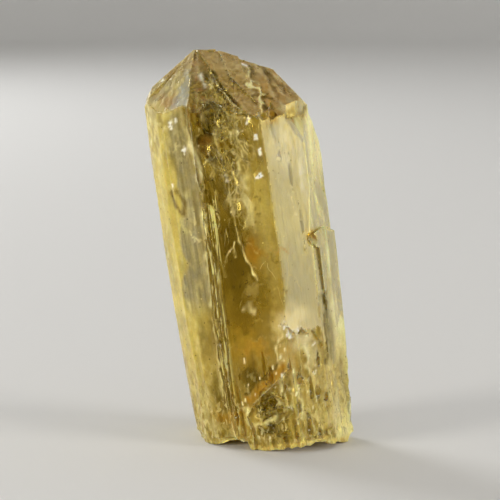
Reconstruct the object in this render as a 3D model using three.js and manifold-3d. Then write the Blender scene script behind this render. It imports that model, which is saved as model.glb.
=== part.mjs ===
// Imperial topaz crystal, in millimetres, +Z up.
//
// One natural crystal in one piece: a rhombic prism with striated sides, closed by a low
// pyramid and broken off at its foot. It stands on the break, which is not square to the
// prism, so the long axis leans. The crystal is shaped upright in a frame of its own, where
// the long axis is Z, +X is to the right and -Y is the front, and it is leaned over near the
// end, when the break is cut flat at Z = 0.

import * as THREE from 'three';
import { mergeVertices } from 'three/addons/utils/BufferGeometryUtils.js';
import Module from 'manifold-3d';

const wasm = await Module();
wasm.setup();

// ---- Driving dimensions ----------------------------------------------------------------

const LEAN = 7.8; // degrees that the long axis leans to the left from upright
const APEX = [-1.9, 0.2, 40.95]; // where the pyramid's faces would meet
const PRISM_FOOT = -3.2; // the prism starts below the break and is cut off there
const PRISM_TOP = 42; // and it ends above the pyramid, which cuts it back
const RING_STEP = 1.5; // height of one band of facets along the prism
const FOOT_TAPER = 0.91; // how much narrower the prism is at its foot
const TAPER_HEIGHT = 25; // the prism reaches its full width at this height
const LEDGE_FOOT = 30.6; // the right side carries a thicker layer, which ends in a ledge
const LEDGE_HEIGHT = 1.6; // height over which that ledge steps back to the core
const ETCH_TOP = 12; // below this height the faces are etched into ribs
const BREAK_HEIGHT = 0.8; // height on the leaned crystal at which the break cuts it flat
const BLOCK = 120; // side of the blocks that cut the faces, larger than the crystal

// The prism's faces, anticlockwise from the left side as seen from above. bearing is the
// direction that a face looks in, in degrees from +X; distance is how far it lies from the
// axis. Golden and sheen and their opposites are close to topaz's main prism, 110; the
// others are the narrower faces that round off its two long edges. strips is how many
// striations run up a face and relief their depth, drift is how much further out the face
// gets per millimetre of height, and ledge how far it steps back above the ledge.
const PRISM_FACES = {
  farLeft: { bearing: 204, distance: 7.24, strips: 3, relief: 0.06, drift: 0, ledge: 0 },
  left: { bearing: 227, distance: 6.3, strips: 4, relief: 0.08, drift: 0, ledge: 0 },
  band: { bearing: 241, distance: 5.56, strips: 4, relief: 0.1, drift: 0, ledge: 0 },
  ribbed: { bearing: 248.7, distance: 5.32, strips: 5, relief: 0.24, drift: 0, ledge: 0 },
  golden: { bearing: 253.8, distance: 5.22, strips: 8, relief: 0.06, drift: 0, ledge: 0 },
  sheen: { bearing: 304.8, distance: 6.86, strips: 6, relief: 0.04, drift: 0, ledge: 0 },
  right: { bearing: 325, distance: 7.5, strips: 5, relief: 0.12, drift: 0.02, ledge: 0.85 },
  farRight: { bearing: 33, distance: 7.06, strips: 7, relief: 0.14, drift: -0.02, ledge: 0.9 },
  backRight: { bearing: 51, distance: 6.1, strips: 5, relief: 0.16, drift: 0, ledge: 0.3 },
  backBroad: { bearing: 71, distance: 5.2, strips: 9, relief: 0.18, drift: 0, ledge: 0 },
  backLeft: { bearing: 125.6, distance: 6.54, strips: 9, relief: 0.15, drift: 0, ledge: 0 },
  backEdge: { bearing: 150, distance: 7.45, strips: 4, relief: 0.12, drift: 0, ledge: 0 },
};

// The pyramid's faces: slope is measured from level, and through is a point on the face.
const PYRAMID_FACES = {
  satin: { through: APEX, bearing: 294.4, slope: 42.8 },
  cracked: { through: APEX, bearing: 266, slope: 49 },
  bluish: { through: APEX, bearing: 229, slope: 49 },
  backRight: { through: APEX, bearing: 60, slope: 47 },
  backLeft: { through: APEX, bearing: 125, slope: 46 },
  apexWear: { through: [-1.7, 0, 40.42], bearing: 30, slope: 7 },
  rightBevel: { through: [5.05, -1, 37.4], bearing: 3, slope: 54 },
  leftBevel: { through: [-7.0, 0, 37.4], bearing: 190, slope: 60 },
};

// ---- Small helpers -----------------------------------------------------------------------

const radians = THREE.MathUtils.degToRad;
const { clamp, lerp, smoothstep } = THREE.MathUtils;

// A unit vector with a bearing in degrees from +X and a slope in degrees from +Z.
function direction(bearing, slope = 90) {
  const across = Math.sin(radians(slope));
  const x = across * Math.cos(radians(bearing));
  const y = across * Math.sin(radians(bearing));
  return new THREE.Vector3(x, y, Math.cos(radians(slope)));
}

// A repeatable number between -1 and 1 for a pair of numbers.
function scatter(a, b) {
  const s = Math.sin(a * 127.1 + b * 311.7) * 43758.5453;
  return 2 * (s - Math.floor(s)) - 1;
}

// The same number drawn out into a smooth line along t, one line for each row.
function wave(row, t) {
  const i = Math.floor(t);
  const f = t - i;
  return lerp(scatter(row, i), scatter(row, i + 1), f * f * (3 - 2 * f));
}

// Only positions, with the shared corners merged, as the cutting library needs them.
function bare(geometry) {
  const open = geometry.index ? geometry.toNonIndexed() : geometry.clone();
  open.deleteAttribute('normal');
  open.deleteAttribute('uv');
  return mergeVertices(open, 1e-4);
}

// A closed three.js geometry as a solid that can be joined and cut.
function solid(geometry) {
  const merged = bare(geometry);
  const vertProperties = merged.attributes.position.array;
  const triVerts = new Uint32Array(merged.index.array);
  return new wasm.Manifold(new wasm.Mesh({ numProp: 3, vertProperties, triVerts }));
}

// A solid turned back into a three.js geometry.
function geometryOf(shape) {
  const { numProp, vertProperties, triVerts } = shape.getMesh();
  const position = new THREE.BufferAttribute(new Float32Array(vertProperties), numProp);
  const geometry = new THREE.BufferGeometry().setAttribute('position', position);
  return geometry.setIndex(new THREE.BufferAttribute(new Uint32Array(triVerts), 1));
}

// Moves every corner of a geometry by what move does to it.
function reshape(geometry, move) {
  const points = geometry.attributes.position;
  const p = new THREE.Vector3();
  for (let i = 0; i < points.count; i++) {
    move(p.fromBufferAttribute(points, i), i);
    points.setXYZ(i, p.x, p.y, p.z);
  }
  return geometry;
}

// The directions that lie across, along and out of a face with a normal.
function axesOf(normal) {
  const up = new THREE.Vector3(0, Math.abs(normal.z) > 0.99 ? 1 : 0, Math.abs(normal.z) > 0.99 ? 0 : 1);
  const across = up.cross(normal).normalize();
  return [across, normal.clone().cross(across), normal];
}

// Places a geometry made around +Z so that +Z follows a normal at a point, and +Y runs up
// the face.
function facing(geometry, point, normal) {
  const turn = new THREE.Matrix4().makeBasis(...axesOf(normal));
  return geometry.applyMatrix4(turn).translate(point.x, point.y, point.z);
}

// ---- Cutting tools -----------------------------------------------------------------------

// Everything beyond a plane, as a block whose one side lies on it.
function beyond(point, normal) {
  const block = new THREE.BoxGeometry(BLOCK, BLOCK, BLOCK).translate(0, 0, BLOCK / 2);
  return solid(facing(block, point, normal));
}

// The same with an uneven side of facets, over a patch around the point. ribs says how much
// of the relief runs up the face in ribs, from 0 to 1; the rest is scattered.
function beyondRough(point, normal, { size = 30, cell = [0.8, 1.6], relief = 0.2, ribs = 0, seed = 1 }) {
  const [columns, rows] = cell.map((length) => Math.round(size / length));
  const block = new THREE.BoxGeometry(size, size, size, columns, rows, 1).translate(0, 0, size / 2);
  const uneven = reshape(bare(block), (p, i) => {
    if (p.z > 0.01) return;
    const rib = wave(Math.round(p.x / cell[0]) * 17 + seed, p.y / 3.2);
    p.z += relief * (ribs * rib + (1 - ribs) * scatter(i, seed));
    p.x += 0.25 * cell[0] * scatter(i, seed + 3);
    p.y += 0.25 * cell[1] * scatter(i, seed + 5);
  });
  return solid(facing(uneven, point, normal));
}

// A column through the crystal's front half, with an outline drawn as seen from the front.
function frontColumn(outline, depth = 16) {
  const shape = new THREE.Shape(outline.map(([x, z]) => new THREE.Vector2(x, z)));
  const column = new THREE.ExtrudeGeometry(shape, { depth, bevelEnabled: false });
  return solid(column.rotateX(radians(90)));
}

// A point on a prism face or a pyramid face, and its normal.
function planeOf(face) {
  const normal = direction(face.bearing, face.slope);
  const { through, distance } = face;
  const point = through ? new THREE.Vector3(...through) : normal.clone().multiplyScalar(distance);
  return { point, normal };
}

// Takes a layer off a face within an outline drawn as seen from the front. The layer has its
// depth at the outline's first point, and thins out down the face by tilt, in degrees.
function layerOff(face, depth, outline, { tilt = 0, rough } = {}) {
  const { point, normal } = planeOf(face);
  const [x, z] = outline[0];
  const y = (point.dot(normal) - normal.x * x - normal.z * z) / normal.y;
  const seat = new THREE.Vector3(x, y, z).addScaledVector(normal, -depth);
  const upFace = axesOf(normal)[1];
  const tilted = normal.clone().addScaledVector(upFace, Math.tan(radians(tilt))).normalize();
  return frontColumn(outline).intersect(rough ? beyondRough(seat, tilted, rough) : beyond(seat, tilted));
}

// A rounded lump with uneven facets, for the shell-shaped hollows that chips leave.
function lump({ at, radii, turn = [0, 0, 0], rough = 0.07 }) {
  const ball = bare(new THREE.IcosahedronGeometry(1, 2));
  const uneven = reshape(ball, (p, i) => p.multiplyScalar(1 + rough * scatter(i, at[0] + at[2])));
  const euler = new THREE.Euler(...turn.map(radians));
  uneven.scale(...radii).applyMatrix4(new THREE.Matrix4().makeRotationFromEuler(euler));
  return solid(uneven.translate(...at));
}

// A long sliver, pointed at both ends, for an etched groove. Its middle lies on a face.
function sliver(face, x, z, { length, width, depth }) {
  const { point, normal } = planeOf(face);
  const y = (point.dot(normal) - normal.x * x - normal.z * z) / normal.y;
  const form = new THREE.OctahedronGeometry(1).scale(width / 2, depth, length / 2);
  form.rotateZ(radians(face.bearing + 90));
  return solid(form.translate(x, y, z));
}

// ---- The striated prism ------------------------------------------------------------------

const FACES = Object.values(PRISM_FACES);

// How far a face lies from the axis at a height.
function reach(row, height) {
  const face = FACES[row];
  const t = clamp(height / TAPER_HEIGHT, 0, 1);
  const taper = lerp(FOOT_TAPER, 1, 1 - (1 - t) * (1 - t));
  const stepBack = face.ledge * smoothstep(height, LEDGE_FOOT, LEDGE_FOOT + LEDGE_HEIGHT);
  const drift = face.drift * (height - TAPER_HEIGHT / 2);
  return face.distance * taper + drift - stepBack + 0.06 * wave(row, height / 5);
}

// Where a face meets the next one at a height.
function corner(row, height) {
  const next = (row + 1) % FACES.length;
  const m = direction(FACES[row].bearing);
  const n = direction(FACES[next].bearing);
  const p = reach(row, height);
  const q = reach(next, height);
  const cross = m.x * n.y - m.y * n.x;
  return new THREE.Vector2((p * n.y - q * m.y) / cross, (m.x * q - n.x * p) / cross);
}

function previous(row) {
  return (row + FACES.length - 1) % FACES.length;
}

// How deep a striation lies: each strip keeps its own level along the prism, with slow
// changes, and the levels differ more in the etched zone.
function striation(row, strip, height) {
  const steady = 0.7 * scatter(row * 31 + 7, strip);
  const wandering = 0.6 * wave(row * 57 + strip * 13, height / 3.5);
  const etched = 1 + 1.5 * smoothstep(ETCH_TOP - height, 0, 5);
  return FACES[row].relief * etched * (steady + wandering);
}

// One closed outline of the prism at a height, with the same number of points each time.
function ring(height) {
  const points = [];
  FACES.forEach((face, row) => {
    const start = corner(previous(row), height);
    const end = corner(row, height);
    const outward = direction(face.bearing);
    for (let strip = 0; strip < face.strips; strip++) {
      const p = start.clone().lerp(end, strip / face.strips);
      const depth = strip === 0 ? 0 : striation(row, strip, height);
      points.push(new THREE.Vector3(p.x + outward.x * depth, p.y + outward.y * depth, height));
    }
  });
  return points;
}

// The prism: outlines stacked along the axis, with a flat lid at each end.
function prism() {
  const count = Math.round((PRISM_TOP - PRISM_FOOT) / RING_STEP);
  const rings = [];
  for (let i = 0; i <= count; i++) rings.push(ring(lerp(PRISM_FOOT, PRISM_TOP, i / count)));
  const around = rings[0].length;
  const lids = [new THREE.Vector3(0, 0, PRISM_FOOT), new THREE.Vector3(0, 0, PRISM_TOP)];
  const points = [...rings.flat(), ...lids];
  const [foot, top] = [points.length - 2, points.length - 1];
  const faces = [];
  for (let k = 0; k < around; k++) {
    const next = (k + 1) % around;
    for (let i = 0; i < count; i++) {
      const [a, b] = [i * around + k, i * around + next];
      faces.push(a, b, b + around, a, b + around, a + around);
    }
    faces.push(foot, next, k);
    faces.push(top, count * around + k, count * around + next);
  }
  return solid(new THREE.BufferGeometry().setFromPoints(points).setIndex(faces));
}

// ---- What is taken off ---------------------------------------------------------------------

function pyramidCuts() {
  return Object.values(PYRAMID_FACES).map((face) => {
    const { point, normal } = planeOf(face);
    return beyond(point, normal);
  });
}

// The front corner of the pyramid is shattered, from the apex down into the golden face.
function crackedZone() {
  const { golden, ribbed } = PRISM_FACES;
  const shattered = { cell: [0.7, 1.3] };
  const upper = [[-1.3, 38.9], [-0.9, 37.3], [0.5, 35.2], [3.0, 33.0],
    [2.2, 31.8], [-3.3, 31.8], [-3.5, 36], [-3.0, 38.5], [-2.4, 40.4]];
  const lower = [[0.4, 34.4], [2.9, 33.4], [2.5, 31.2], [2.7, 29.6], [1.8, 28.4], [1.5, 26.6],
    [0.6, 24.6], [-0.2, 22.8], [-1.2, 24.0], [-2.2, 22.6], [-3.2, 25.2], [-3.8, 28.4], [-3.6, 34.8]];
  return [
    layerOff(PYRAMID_FACES.cracked, 0.42, upper, { rough: { ...shattered, relief: 0.2, seed: 4 } }),
    layerOff(golden, 0.75, lower, { tilt: 3.6, rough: { ...shattered, relief: 0.3, ribs: 0.2, seed: 9 } }),
    lump({ at: [-1.7, -4.7, 34.2], radii: [1.3, 1.1, 1.7], turn: [20, 0, 30] }),
    lump({ at: [-2.7, -4.6, 31.6], radii: [0.7, 0.7, 1.5], turn: [0, 14, 20] }),
    lump({ at: [0.9, -5.9, 32.6], radii: [1.2, 0.7, 0.9], turn: [0, -40, -15] }),
    lump({ at: [-0.6, -5.2, 29.4], radii: [0.6, 0.6, 2.1], turn: [0, -10, 0] }),
    lump({ at: [1.6, -5.9, 29.9], radii: [0.6, 0.5, 1.3], turn: [0, 12, 0] }),
    sliver(ribbed, -3.4, 27.0, { length: 8, width: 0.5, depth: 0.35 }),
    sliver(golden, -1.5, 23.6, { length: 7, width: 0.5, depth: 0.3 }),
    sliver(golden, -0.3, 21.2, { length: 6.5, width: 0.4, depth: 0.22 }),
  ];
}

// The satin face of the pyramid: its right part is a layer lower than its left part, behind
// a ragged ledge, and a pit and a small bench lie where it meets the prism.
function satinLedges() {
  const lowerRight = [[1.4, 40.4], [2.0, 38.0], [2.7, 36.9], [3.5, 36.3], [3.4, 35.6],
    [4.3, 34.9], [4.0, 34.2], [4.6, 33.0], [9, 32.4], [9, 40.4]];
  const outerStrip = [[4.4, 39.4], [5.0, 37.4], [5.8, 36.0], [6.3, 34.6], [9, 34.2], [9, 39.4]];
  const bench = [[5.5, 33.0], [9, 33.1], [9, 34.5], [5.6, 34.5]];
  const thinStep = [[-0.6, 41.2], [0.1, 39.3], [0.6, 37.6], [2.0, 35.9], [3.1, 34.6],
    [1.0, 34.4], [-0.9, 36.9], [-1.6, 39.0], [-2.2, 41.2]];
  return [
    layerOff(PYRAMID_FACES.satin, 0.36, lowerRight),
    layerOff(PYRAMID_FACES.satin, 0.6, outerStrip),
    layerOff(PYRAMID_FACES.satin, 0.18, thinStep),
    layerOff(PRISM_FACES.sheen, 0.62, bench),
    lump({ at: [4.35, -5.35, 34.1], radii: [0.62, 0.7, 0.95], turn: [0, 25, 0] }),
    lump({ at: [3.4, -6.1, 33.9], radii: [0.8, 0.5, 0.6], turn: [30, 0, 0] }),
  ];
}

// Thin ledges, one behind the other, along the pyramid's left ridge.
function leftLedges() {
  const first = [[-3.0, 42], [-4.3, 38.9], [-6.7, 36.7], [-9, 35.9], [-9, 42]];
  const second = [[-4.0, 42], [-5.3, 38.8], [-7.3, 37.0], [-9, 36.7], [-9, 42]];
  return [
    layerOff(PYRAMID_FACES.bluish, 0.22, first),
    layerOff(PYRAMID_FACES.bluish, 0.42, second),
  ];
}

// The right side: a groove and a riser part the sheen face from the narrow face beside it,
// which has a thicker layer low down, with a notch at its top. The sheen face has shallow
// grooves of its own.
function rightGrooves() {
  const above = [[7.0, 34], [6.8, 26], [6.3, 21.4], [7.4, 21.9], [9.6, 20.7], [9.6, 34]];
  const beside = [[6.4, 20.6], [6.2, 14], [6.1, 8.6], [6.8, 8.2], [7.0, 20.0]];
  const { sheen, right } = PRISM_FACES;
  return [
    layerOff(right, 0.24, above, { rough: { cell: [1.2, 1.6], relief: 0.05, seed: 21 } }),
    layerOff(right, 0.22, beside),
    lump({ at: [6.5, -4.0, 21.0], radii: [0.5, 0.6, 0.8], turn: [0, -30, 0] }),
    sliver(right, 6.5, 17.2, { length: 8, width: 0.7, depth: 0.3 }),
    sliver(right, 6.3, 11.0, { length: 7, width: 0.7, depth: 0.4 }),
    sliver(sheen, 5.15, 27.3, { length: 7.5, width: 0.5, depth: 0.16 }),
    sliver(sheen, 5.6, 23.0, { length: 6, width: 0.45, depth: 0.12 }),
    sliver(sheen, 4.3, 29.8, { length: 5, width: 0.4, depth: 0.1 }),
  ];
}

// The etched foot: the faces lie a little deeper below a ragged line, in ribs, and long
// grooves run up from the break between them.
function etchedFoot() {
  const { sheen, golden, ribbed, right, band } = PRISM_FACES;
  const underSheen = [[2.2, 12.9], [2.9, 13.3], [3.7, 12.3], [4.2, 12.8], [4.8, 12.0],
    [5.2, 12.4], [6.1, 10.4], [6.5, 10.9], [6.6, -4], [2.2, -4]];
  const underBand = [[3.6, 9.6], [2.2, 8.9], [0.6, 7.4], [-1.2, 6.0], [-2.2, 4.6],
    [-1.8, 2.6], [-2.2, -4], [3.6, -4]];
  const cuts = [
    layerOff(sheen, 0.5, underSheen, { rough: { cell: [0.5, 1.5], relief: 0.26, ribs: 0.7, seed: 31 } }),
    layerOff(golden, 0.45, underBand, { rough: { cell: [0.55, 1.3], relief: 0.26, ribs: 0.6, seed: 37 } }),
  ];
  const rows = [
    { face: sheen, count: 10, from: 2.9, to: 6.3, deep: 1.15 },
    { face: golden, count: 8, from: -0.4, to: 2.7, deep: 0.8 },
    { face: right, count: 5, from: 6.6, to: 7.9, deep: 0.5 },
    { face: band, count: 6, from: -6.3, to: -3.9, deep: 0.42 },
    { face: ribbed, count: 6, from: -3.7, to: -1.6, deep: 0.4 },
  ];
  rows.forEach(({ face, count, from, to, deep }, row) => {
    for (let i = 0; i < count; i++) {
      const x = lerp(from, to, (i + 0.5 + 0.35 * scatter(i, row)) / count);
      const z = 5.5 + 4 * scatter(i + 11, row + 2);
      const length = 6 + 2.5 * scatter(i + 5, row + 7);
      const width = 0.5 + 0.16 * scatter(i + 3, row + 1);
      const depth = deep * (0.85 + 0.3 * scatter(i + 9, row + 4));
      cuts.push(sliver(face, x, z, { length, width, depth }));
    }
  });
  return cuts;
}

// Shell-shaped hollows: the deep one near the foot with its two shelves, and smaller chips
// along the edges and on the back.
function chips() {
  return [
    lump({ at: [0.1, -5.9, 5.5], radii: [1.6, 1.3, 0.95], turn: [0, -28, 15] }),
    lump({ at: [0.5, -5.5, 4.3], radii: [2.0, 1.1, 0.7], turn: [25, -18, 10] }),
    lump({ at: [-0.9, -5.3, 3.2], radii: [1.2, 0.7, 0.75], turn: [0, 20, 0] }),
    lump({ at: [0.9, -5.6, 2.5], radii: [0.9, 0.6, 0.4], turn: [0, -10, 0] }),
    lump({ at: [3.0, -6.7, 19.2], radii: [0.35, 0.45, 0.9] }),
    lump({ at: [3.2, -6.9, 29.5], radii: [0.4, 0.5, 1.1] }),
    lump({ at: [-8.1, -1.3, 6.8], radii: [0.5, 1.3, 0.9], turn: [0, 0, 15] }),
    lump({ at: [-0.9, 6.5, 34.9], radii: [2.4, 1.1, 1.0], turn: [-25, 14, 0] }),
    lump({ at: [-2.9, 6.2, 33.7], radii: [1.3, 0.8, 1.5], turn: [-10, 30, 0] }),
    lump({ at: [0.0, 6.6, 13.0], radii: [0.8, 1.0, 3.4], turn: [0, 6, 0] }),
    lump({ at: [-0.5, 6.4, 9.6], radii: [1.2, 0.7, 1.6], turn: [0, -14, 0] }),
    lump({ at: [-5.6, 4.5, 3.0], radii: [1.8, 0.9, 1.3], turn: [0, 20, 40] }),
    lump({ at: [8.3, 1.8, 26.3], radii: [0.6, 1.1, 2.0], turn: [12, 0, 0] }),
  ];
}

// ---- Lean and break --------------------------------------------------------------------

function leaned(shape) {
  const lean = new THREE.Matrix4().makeRotationY(-radians(LEAN));
  return solid(geometryOf(shape).applyMatrix4(lean));
}

// The break: flat where the crystal stands, with a step at the front left and worn corners.
function breakCuts() {
  const down = new THREE.Vector3(0, 0, -1);
  const stepOutline = [[-12, -9], [-2.6, -9], [-2.8, -4.6], [-3.6, -3.2], [-6, -2.4], [-12, -1]];
  const step = new THREE.Shape(stepOutline.map(([x, y]) => new THREE.Vector2(x, y)));
  const column = new THREE.ExtrudeGeometry(step, { depth: 5, bevelEnabled: false }).translate(0, 0, -3);
  const ceiling = new THREE.Vector3(-5, -4, BREAK_HEIGHT + 0.72);
  const uneven = beyondRough(ceiling, down, { cell: [0.9, 0.9], relief: 0.14, seed: 51 });
  return [
    beyond(new THREE.Vector3(0, 0, BREAK_HEIGHT), down),
    solid(column).intersect(uneven),
    lump({ at: [-8.2, -1.0, BREAK_HEIGHT], radii: [1.2, 2.4, 1.3] }),
    lump({ at: [8.35, -0.6, BREAK_HEIGHT], radii: [1.1, 2.4, 1.0] }),
    lump({ at: [4.8, -4.6, BREAK_HEIGHT - 0.1], radii: [1.6, 0.9, 0.6] }),
    lump({ at: [3.4, 5.9, BREAK_HEIGHT], radii: [1.9, 1.1, 1.0] }),
    lump({ at: [-3.2, 5.7, BREAK_HEIGHT], radii: [1.4, 1.0, 0.8] }),
  ];
}

// ---- The crystal -----------------------------------------------------------------------

const cuts = [
  ...pyramidCuts(), ...leftLedges(), ...satinLedges(), ...crackedZone(),
  ...rightGrooves(), ...etchedFoot(), ...chips(),
];
const upright = cuts.reduce((body, cut) => body.subtract(cut), prism());
const standing = breakCuts().reduce((body, cut) => body.subtract(cut), leaned(upright));

const geometry = geometryOf(standing).toNonIndexed();
geometry.computeBoundingBox();
const middle = geometry.boundingBox.getCenter(new THREE.Vector3());
geometry.translate(-middle.x, -middle.y, -geometry.boundingBox.min.z);
geometry.computeVertexNormals();

const golden = new THREE.MeshStandardMaterial({ color: 0xcdb65c, roughness: 0.25, metalness: 0 });
const topaz = new THREE.Mesh(geometry, golden);
topaz.name = 'topaz_crystal';

const part = new THREE.Group();
part.add(topaz);

export default part;
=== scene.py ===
# %% [markdown]
# # Imperial topaz crystal
# One natural crystal, about 39 mm tall, that stands on its broken foot. It is clear and golden,
# so most of its look comes from inside: light enters through one face, is bent and tinted on its
# way, and meets cracks, stains and cloudy skins before it leaves through another.
#
# The lesson starts from the measured solid, gives its skin the fine relief that grew on it, cuts
# cracks and bubbles into it, paints where it is clear, milky or stained, paints in some highlights,
# sheens and shade too, and builds one material that reads this paint.

# %% Load the measured solid
import bpy
import math
import random
import numpy as np
from mathutils import Matrix, Vector, noise
from mathutils.bvhtree import BVHTree


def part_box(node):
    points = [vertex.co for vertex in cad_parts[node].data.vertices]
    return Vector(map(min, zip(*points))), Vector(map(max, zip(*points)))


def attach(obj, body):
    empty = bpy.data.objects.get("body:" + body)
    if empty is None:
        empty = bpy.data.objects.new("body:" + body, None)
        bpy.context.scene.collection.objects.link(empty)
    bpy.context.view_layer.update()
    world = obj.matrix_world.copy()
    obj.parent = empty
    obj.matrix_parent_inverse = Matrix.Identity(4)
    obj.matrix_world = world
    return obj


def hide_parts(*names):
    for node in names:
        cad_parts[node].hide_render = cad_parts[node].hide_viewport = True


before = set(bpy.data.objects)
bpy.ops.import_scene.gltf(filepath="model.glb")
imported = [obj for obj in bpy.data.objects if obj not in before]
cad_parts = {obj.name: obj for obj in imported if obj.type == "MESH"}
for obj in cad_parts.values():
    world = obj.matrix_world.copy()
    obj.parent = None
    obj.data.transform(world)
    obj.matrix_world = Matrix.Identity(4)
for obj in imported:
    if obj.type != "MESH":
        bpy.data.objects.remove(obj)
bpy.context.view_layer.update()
MM = 0.001
NODE = "topaz_crystal"
lowest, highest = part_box(NODE)
print("solid, in mm, from", [round(v / MM, 2) for v in lowest], "to", [round(v / MM, 2) for v in highest])

# %% [markdown]
# ## The crystal's own frame
# The prism leans a little, so places are easier to name along the crystal itself: x runs to the
# right across it, y to the back and z up its long axis, all in millimetres. A matrix takes a
# place from this frame to Blender's world, and its inverse takes it back.

# %% Crystal frame
LEAN = math.radians(7.8)
AXIS_FOOT = Vector((2.53, 0.01, -0.8))  # where the long axis starts, in millimetres
to_world = Matrix.Scale(MM, 4) @ Matrix.Translation(AXIS_FOOT) @ Matrix.Rotation(-LEAN, 4, "Y")
to_crystal = to_world.inverted()
print("the axis starts at", [round(v, 2) for v in AXIS_FOOT], "mm and leans", round(math.degrees(LEAN), 1), "degrees")

# %% [markdown]
# ## Camera
# The crystal is seen from the front and slightly above. A long lens, some way off, keeps its
# upright edges nearly parallel. The focal length follows from the height that the picture has to
# show at the crystal's distance.

# %% Camera
FRAME_HEIGHT = 49.5 * MM
DISTANCE = 180 * MM
ELEVATION = math.radians(9)
LOOK_AT = Vector((0, 0, 19.25)) * MM
camera_data = bpy.data.cameras.new("camera")
camera_data.sensor_width = 36
camera_data.lens = camera_data.sensor_width * DISTANCE / FRAME_HEIGHT
camera_data.clip_start = 0.01
camera_data.clip_end = 10
camera = bpy.data.objects.new("camera", camera_data)
bpy.context.scene.collection.objects.link(camera)
backwards = Vector((0, -math.cos(ELEVATION), math.sin(ELEVATION)))
camera.location = LOOK_AT + backwards * DISTANCE
camera.rotation_euler = (-backwards).to_track_quat("-Z", "Y").to_euler()
bpy.context.scene.camera = camera
print("lens", round(camera_data.lens, 1), "mm")

# %% [markdown]
# ## Working with operators
# An operator works on whatever is selected, and needs the right mode. Three small helpers keep
# this tidy: one deselects everything, one chooses a single piece, and one adds a modifier, sets
# it and applies it.


# %% Helpers for operators
def deselect():
    """Leaves edit mode and selects nothing."""
    if bpy.context.object and bpy.context.object.mode != "OBJECT":
        bpy.ops.object.mode_set(mode="OBJECT")
    bpy.ops.object.select_all(action="DESELECT")


def choose(piece):
    """Makes one piece the selected and active one."""
    deselect()
    piece.select_set(True)
    bpy.context.view_layer.objects.active = piece


def apply_modifier(piece, name, kind, **settings):
    choose(piece)
    modifier = piece.modifiers.new(name, kind)
    for key, value in settings.items():
        setattr(modifier, key, value)
    bpy.ops.object.modifier_apply(modifier=name)


print("helpers ready")

# %% [markdown]
# ## Crystal, a fine skin on the measured shape
# The solid has the right faces and edges, but its triangles are long and few, and a relief needs
# points everywhere. The solid itself isn't touched: it is copied, and its loose triangles are
# merged. Subdividing would keep the long triangles, so a Remesh modifier lays an even grid over
# the surface instead. Its Sharp mode keeps the crystal's edges crisp.

# %% Copy of the solid, merged and refined
choose(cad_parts[NODE])
bpy.ops.object.duplicate()
crystal = bpy.context.object
crystal.name = "crystal"
crystal.data.name = "crystal"
crystal.data.materials.clear()
bpy.ops.object.mode_set(mode="EDIT")
bpy.ops.mesh.select_all(action="SELECT")
bpy.ops.mesh.remove_doubles(threshold=0.001 * MM)
bpy.ops.object.mode_set(mode="OBJECT")
print("merged:", len(crystal.data.vertices), "points,", len(crystal.data.polygons), "faces")
apply_modifier(crystal, "fine grid", "REMESH", mode="SHARP", octree_depth=8, scale=0.755,
               sharpness=1.0, use_remove_disconnected=True, threshold=0.1)
print("refined:", len(crystal.data.vertices), "points,", len(crystal.data.polygons), "faces")


# %% Places in the crystal's frame
def in_crystal(owner, count, name):
    """Reads places from a mesh into the crystal's own frame, in millimetres, one row each."""
    places = np.empty(count * 3, dtype=np.float32)
    owner.foreach_get(name, places)
    turn = np.array(to_crystal)
    return places.reshape(-1, 3).astype(np.float64) @ turn[:3, :3].T + turn[:3, 3]


def point_directions(mesh):
    """The directions that the points look in, in the crystal's own frame."""
    directions = np.empty(len(mesh.vertices) * 3, dtype=np.float32)
    mesh.vertex_normals.foreach_get("vector", directions)
    turn = np.array(to_crystal.to_3x3().normalized())
    return directions.reshape(-1, 3).astype(np.float64) @ turn.T


def write_points(mesh, points):
    turn = np.array(to_world)
    world = points @ turn[:3, :3].T + turn[:3, 3]
    mesh.vertices.foreach_set("co", world.astype(np.float32).ravel())
    mesh.update()


across, back, up = in_crystal(crystal.data.polygons, len(crystal.data.polygons), "center").T
print("the grid reaches", round(float(up.max()), 2), "mm up the long axis")

# %% [markdown]
# ## A finer grid where the detail is
# The shattered corner, the ledge on the tip and the etched foot hold details of a tenth of a
# millimetre. A grid that fine all over would be wasteful, so only the faces of these zones are
# selected, by their place, and subdivided once.

# %% Finer zones
shattered_zone = (across > -3.6) & (across < 2.7) & (up > 26.5) & (up < 37.2)
foot_zone = (across > -2.9) & (across < 6.2) & (up < 9.6)
ledge_zone = (across > 1.8) & (across < 4.6) & (up > 33.6) & (up < 36.8)
middle_zone = (across > -2.6) & (across < 0.8) & (up > 17.6) & (up < 24.6)
choose(crystal)
bpy.ops.object.mode_set(mode="EDIT")
bpy.ops.mesh.select_mode(type="FACE")
bpy.ops.mesh.select_all(action="DESELECT")
bpy.ops.object.mode_set(mode="OBJECT")
crystal.data.polygons.foreach_set("select", (shattered_zone | foot_zone | ledge_zone | middle_zone) & (back < -2.2))
bpy.ops.object.mode_set(mode="EDIT")
bpy.ops.mesh.subdivide(number_cuts=1)
bpy.ops.object.mode_set(mode="OBJECT")
print("with the finer zones:", len(crystal.data.vertices), "points")

# %% [markdown]
# ## Growth relief
# Topaz grows with fine ridges along its prism, called striae, and acids in the rock later etch
# it, most of all low down. Both are real relief that catches light, so they are moved into the
# mesh: a smooth noise, stretched along the long axis, pushes each point inwards by a few
# hundredths of a millimetre. Masks say how strong it is in each zone.


# %% Smooth noise and masks
def grain(points, width, length, seed=0.0):
    """A smooth random number between about -1 and 1 for each point. Its patches are as wide and
    as long, up the long axis, as given in millimetres."""
    stretched = points / np.array([width, width, length]) + seed
    return np.array([noise.noise(p) for p in stretched.tolist()]) * 1.6


def held(values, most=1.0):
    """Values held between 0 and a limit."""
    return np.clip(values, 0, most)


def ramp(values, start, end):
    """Rises smoothly from 0 at the start to 1 at the end."""
    t = held((values - start) / (end - start))
    return t * t * (3 - 2 * t)


def between(values, start, end, soft):
    return ramp(values, start - soft, start + soft) * (1 - ramp(values, end - soft, end + soft))


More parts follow.
